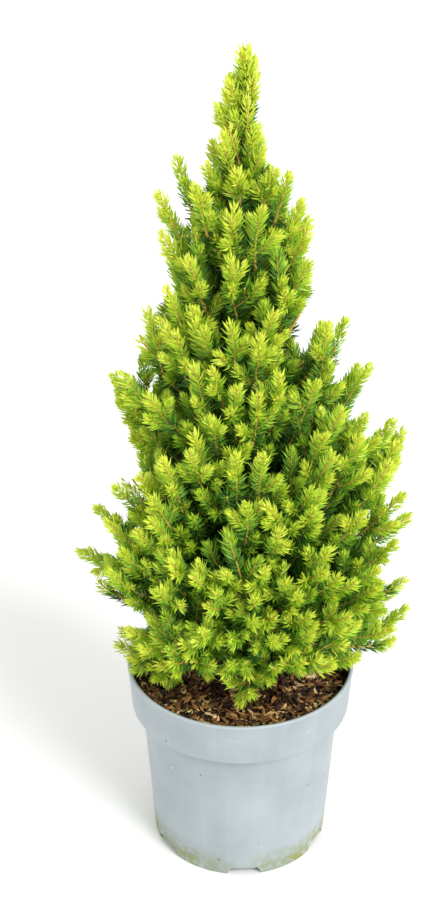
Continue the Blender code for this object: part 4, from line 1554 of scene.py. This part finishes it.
def layLines(masses, branches, shoots):
    # The twig under each shoot and each stem, by part of the crown
    plan = twigPlan
    rng = random.Random(needlePlan["seed"])
    lines = {part: Lines() for part in ("lower", "middle", "upper")}
    bends = []
    for shoot in shoots:
        axis = shoot["tip"] - shoot["root"]
        length = axis.length
        end = max(plan["leastShare"] * length, length - plan["tuft"])
        count = max(2, round(end / plan["stepLength"]))
        along = axis.normalized()
        sway = rng.uniform(-1, 1) * plan["sideBend"] * length * levelAcross(along)
        level = 1.0 - abs(along.z)
        sag = Vector((0.0, 0.0, -plan["sag"] * length * level))
        # The tip turns up as far as the crown's outline lets it
        for turnUp in plan["turnUpTries"]:
            rise = Vector((0.0, 0.0, turnUp * plan["turnUp"] * length * level))
            tip = shoot["tip"] + rise
            reach = crownReach(tip.z, math.atan2(tip.y, tip.x)) + plan["turnUpSlack"]
            if math.hypot(tip.x, tip.y) < reach:
                break
        # A side shoot leaves its parent's bent twig
        start = Vector((0.0, 0.0, 0.0))
        if shoot["order"] == 2:
            parentEnd, parentBow, parentRise = bends[shoot["parent"]]
            mark = min(1.0, shoot["along"] / parentEnd)
            start = 4.0 * mark * (1.0 - mark) * parentBow + mark**2 * parentRise
        points = []
        marks = [i / count for i in range(count + 1)]
        for mark in marks:
            bend = 4.0 * mark * (1.0 - mark) * (sag + sway) + mark**2 * rise + (1.0 - mark) * start
            points.append(shoot["root"] + mark * end * along + bend)
        bends.append((end, sag + sway, rise))
        thick = 1.0 if shoot["order"] == 1 else plan["sideThickness"]
        radii = [thick * (plan["rootRadius"] + (plan["tipRadius"] - plan["rootRadius"]) * m) for m in marks]
        fromTips = [(1.0 - mark) * end for mark in marks]
        offset = shoot["shade"] + rng.uniform(-1, 1) * shadePlan["perShoot"]
        # A longer twig is bare at its foot
        clads = [0.0] + [1.0] * count if count > 3 else [1.0] * (count + 1)
        lines[shoot["limb"]["part"]].add(points, radii, fromTips, offset, clads)
    for owner, mass in enumerate(masses):
        points, radii = mass["stem"]
        # A stem that would end in an open place ends at its last shoot
        if inOpening(np.array([mass["tip"]])):
            own = [shoot for shoot in shoots if shoot["limb"]["owner"] == owner and shoot["order"] == 1]
            reach = max([(shoot["root"] - points[0]).length for shoot in own], default=0.0)
            points = shortened(points, reach)
        fromTips = [(mass["tip"] - point).length for point in points]
        clads = [float(i >= int(plan["stemClad"] * len(points))) for i in range(len(points))]
        lines[mass["part"]].add(points, radii, fromTips, shadePlan["onStem"], clads)
    for branch in branches:
        points = branch["points"]
        radii = np.linspace(branchPlan["rootRadius"], branchPlan["tipRadius"], len(points)).tolist()
        fromTips = [(branch["tip"] - point).length + plan["branchAge"] for point in points]
        first = int(branchPlan["clad"] * len(points))
        clads = [float(i >= first and not inOpening(np.array([point]))) for i, point in enumerate(points)]
        lines[branch["part"]].add(points, radii, fromTips, shadePlan["onStem"], clads)
    # Needles stand on the youngest part of the trunk too
    count = plan["trunkCladPoints"]
    heights = np.linspace(plan["trunkCladFrom"], trunkPlan["top"], count)
    points = [trunkAxis(height) for height in heights]
    fromTips = [trunkPlan["top"] - height + plan["trunkAge"] for height in heights]
    lines["upper"].add(points, [plan["trunkCladRadius"]] * count, fromTips, 0.0, [1.0] * count)
    return lines


def twigTree():
    tree, given, out = newTree("twigs", {"Sides": ("Int", 5), "Finish": ("Material", None)})
    curve = addNode(tree, "GeometryNodeMeshToCurve", inputs={0: given["Geometry"]})
    radius = addNode(tree, "GeometryNodeInputNamedAttribute", inputs={0: "radius"})
    ring = addNode(
        tree, "GeometryNodeCurvePrimitiveCircle", inputs={"Resolution": given["Sides"], "Radius": 1.0}
    )
    tube = addNode(
        tree,
        "GeometryNodeCurveToMesh",
        inputs={0: curve.outputs[0], 1: ring.outputs[0], 2: radius.outputs[0], "Fill Caps": True},
    )
    finishTree(tree, tube.outputs[0], given["Finish"], out)
    return tree


def needleBlade():
    # One needle of four faces, keeled and pointed at both ends, a metre long until the tree scales it
    mesh = bpy.data.meshes.new("needle")
    mid = needlePlan["widestAt"]
    bow = needlePlan["bow"]
    points = [(0.0, 0.0, 0.0), (-0.5, bow, mid), (0.5, bow, mid), (0.0, 0.0, 1.0)]
    mesh.from_pydata(points, [], [(0, 2, 1), (1, 2, 3), (0, 1, 3), (0, 3, 2)])
    return newObject("needle", mesh)


def needleTree():
    # Needles along a twig: the golden angle turns each one, and they close into a tuft at the tip
    plan = needlePlan
    tree, given, out = newTree(
        "needles",
        {
            "Spacing": ("Float", plan["spacing"]),
            "Length": ("Float", plan["length"]),
            "Width": ("Float", plan["width"]),
            "Lean": ("Float", plan["lean"]),
            "Young Lean": ("Float", plan["youngLean"]),
            "Tip Lean": ("Float", plan["tipLean"]),
            "Tuft Depth": ("Float", plan["tuftDepth"]),
            "Scatter": ("Float", plan["scatter"]),
            "Shade From": ("Float", 0.0),
            "Shade To": ("Float", 1.0),
            "Seed": ("Int", plan["seed"]),
            "Needle": ("Object", None),
            "Finish": ("Material", None),
        },
    )
    curve = addNode(tree, "GeometryNodeMeshToCurve", inputs={0: given["Geometry"]})
    dots = addNode(
        tree,
        "GeometryNodeCurveToPoints",
        {"mode": "LENGTH"},
        {"Curve": curve.outputs[0], "Length": given["Spacing"]},
    )
    fromTip, shade, clad = (
        addNode(tree, "GeometryNodeInputNamedAttribute", inputs={0: name}).outputs[0]
        for name in ("fromTip", "shade", "clad")
    )
    # What chance gives each needle
    scatters = {
        "spin": (-plan["spinScatter"], plan["spinScatter"]),
        "lean": (-plan["leanScatter"], plan["leanScatter"]),
        "length": plan["lengthScatter"],
        "shade": (-1.0, 1.0),
    }
    for step, (name, (low, high)) in enumerate(scatters.items(), 1):
        seed = addNode(tree, "ShaderNodeMath", {"operation": "ADD"}, {0: given["Seed"], 1: step})
        drawn = addNode(tree, "FunctionNodeRandomValue", inputs={2: low, 3: high, "Seed": seed.outputs[0]})
        scatters[name] = drawn.outputs[1]
    # What changes along the twig: from and to how far from its tip, the value there and beyond
    leans = {0: given["Lean"], 1: given["Young Lean"]}
    opened = addNode(tree, "ShaderNodeMath", {"operation": "SUBTRACT"}, leans).outputs[0]
    fades = {
        "tuft": (0.0, given["Tuft Depth"], 0.0, 1.0),
        "spread": (plan["oldFrom"], plan["oldTo"], 0.0, opened),
        "size": (0.0, plan["domeDepth"], plan["tipSize"], 1.0),
        "breadth": (0.0, plan["broadDepth"], plan["tipBreadth"], 1.0),
    }
    for name, (near, far, low, high) in fades.items():
        fades[name] = addNode(
            tree,
            "ShaderNodeMapRange",
            inputs={"Value": fromTip, "From Min": near, "From Max": far, "To Min": low, "To Max": high},
        ).outputs[0]
    blunt = addNode(tree, "ShaderNodeMath", {"operation": "POWER"}, {0: fades["tuft"], 1: 0.5})
    young = addNode(
        tree,
        "ShaderNodeMapRange",
        inputs={"Value": blunt.outputs[0], "To Min": given["Tip Lean"], "To Max": given["Young Lean"]},
    )
    index = addNode(tree, "GeometryNodeInputIndex").outputs[0]
    sums = {
        # each starts from its first value, and every step adds or multiplies the next
        "spin": (index, ("MULTIPLY", shootPlan["goldenAngle"]), ("ADD", scatters["spin"])),
        "lean": (young.outputs[0], ("ADD", fades["spread"]), ("ADD", scatters["lean"])),
        "length": (given["Length"], ("MULTIPLY", fades["size"]), ("MULTIPLY", scatters["length"])),
        "width": (given["Width"], ("MULTIPLY", fades["breadth"])),
        "shade": (scatters["shade"], ("MULTIPLY", given["Scatter"]), ("ADD", shade)),
    }
    for name, (value, *steps) in sums.items():
        for operation, other in steps:
            value = addNode(tree, "ShaderNodeMath", {"operation": operation}, {0: value, 1: other}).outputs[0]
        sums[name] = value
    scale = addNode(
        tree, "ShaderNodeCombineXYZ", inputs={0: sums["width"], 1: sums["width"], 2: sums["length"]}
    )
    tangent = {"Vector": dots.outputs["Tangent"]}
    aimed = addNode(tree, "FunctionNodeAlignRotationToVector", {"axis": "Z"}, tangent).outputs[0]
    for axis, angle in ((2, sums["spin"]), (0, sums["lean"])):
        turned = addNode(tree, "ShaderNodeCombineXYZ", inputs={axis: angle})
        turnBy = addNode(tree, "FunctionNodeEulerToRotation", inputs={0: turned.outputs[0]})
        both = {0: aimed, 1: turnBy.outputs[0]}
        aimed = addNode(tree, "FunctionNodeRotateRotation", {"rotation_space": "LOCAL"}, both).outputs[0]
    # The needles of this tint, on the clad stretches
    tests = (
        ("GREATER_EQUAL", sums["shade"], given["Shade From"]),
        ("LESS_THAN", sums["shade"], given["Shade To"]),
        ("GREATER_THAN", clad, 0.5),
    )
    chosen = True
    for operation, value, limit in tests:
        passed = addNode(tree, "FunctionNodeCompare", {"operation": operation}, {0: value, 1: limit})
        both = {0: chosen, 1: passed.outputs[0]}
        chosen = addNode(tree, "FunctionNodeBooleanMath", {"operation": "AND"}, both).outputs[0]
    blade = addNode(tree, "GeometryNodeObjectInfo", inputs={"Object": given["Needle"]})
    placed = addNode(
        tree,
        "GeometryNodeInstanceOnPoints",
        inputs={
            "Points": dots.outputs[0],
            "Selection": chosen,
            "Instance": blade.outputs["Geometry"],
            "Rotation": aimed,
            "Scale": scale.outputs[0],
        },
    )
    finishTree(tree, placed.outputs[0], given["Finish"], out)
    return tree


def makeFoliage(masses, branches, shoots):
    lines = layLines(masses, branches, shoots)
    twigs, needles, blade = twigTree(), needleTree(), needleBlade()
    finishes = {name: needleFinish("waxyNeedle_" + name, colour) for name, colour, *_ in needleTints}
    bark = twigFinish("youngTwigBark", twigPlan["colour"])
    total = 0
    for part, rows in lines.items():
        source = rows.object("lines")
        mesh = grownMesh(source, twigs, {"Sides": twigPlan["sides"], "Finish": bark})
        nodes = [mass["name"] for mass in masses if mass["part"] == part]
        settle(newObject("twigs_" + part, mesh), "bark", *nodes)
        for name, _, low, high in needleTints:
            values = {"Shade From": low, "Shade To": high, "Needle": blade, "Finish": finishes[name]}
            mesh = grownMesh(source, needles, values)
            settle(newObject(f"needles_{part}_{name}", mesh), "needles")
            total += len(mesh.polygons)
            print("needles", part, name, len(mesh.polygons))
        removeObject(source)
    removeObject(blade)
    print("needle faces in all:", total)


# Floor, light and camera

studioPlan = {
    "floorSize": 60.0,
    "floorColour": "#f4f4f2",
    "skyStrength": 1.0,
    "keyPlace": (1.50, -1.85, 2.4),
    "keyAngle": math.radians(24),
    "keyPower": 2.25,
    "aim": (0.0, 0.0, 0.35),
}
cameraPlan = {"lens": 60.5, "place": (-0.020, -1.235, 1.057), "pitch": math.radians(90 - 27.34)}


def floorFinish():
    # Matt white studio board
    return newFinish("mattBoard", 0.9, 1.45, studioPlan["floorColour"])


def makeStudio():
    plan = studioPlan
    bm = bmesh.new()
    bmesh.ops.create_grid(bm, x_segments=1, y_segments=1, size=plan["floorSize"] / 2)
    floor = newObject("floor", meshOf(bm, "floor"), floorFinish())
    world = bpy.data.worlds.new("softStudio")
    world.use_nodes = True
    sky = world.node_tree.nodes["Background"]
    sky.inputs["Color"].default_value = (1.0, 1.0, 1.0, 1.0)
    sky.inputs["Strength"].default_value = plan["skyStrength"]
    bpy.context.scene.world = world
    light = bpy.data.lights.new("key", "SUN")
    light.angle = plan["keyAngle"]
    light.energy = plan["keyPower"]
    key = bpy.data.objects.new("key", light)
    key.location = plan["keyPlace"]
    key.rotation_euler = (Vector(plan["aim"]) - key.location).to_track_quat("-Z", "Y").to_euler()
    bpy.context.scene.collection.objects.link(key)
    lens = bpy.data.cameras.new("camera")
    lens.lens = cameraPlan["lens"]
    camera = bpy.data.objects.new("camera", lens)
    camera.location = cameraPlan["place"]
    camera.rotation_euler = (cameraPlan["pitch"], 0.0, 0.0)
    bpy.context.scene.collection.objects.link(camera)
    bpy.context.scene.camera = camera
    bpy.context.scene.view_settings.view_transform = "Standard"
    print("studio set")


makeStudio()
makePot()
makeCompost()
makeChips()
masses, branches, shoots = growPlant()
makeBark(masses)
makeFoliage(masses, branches, shoots)
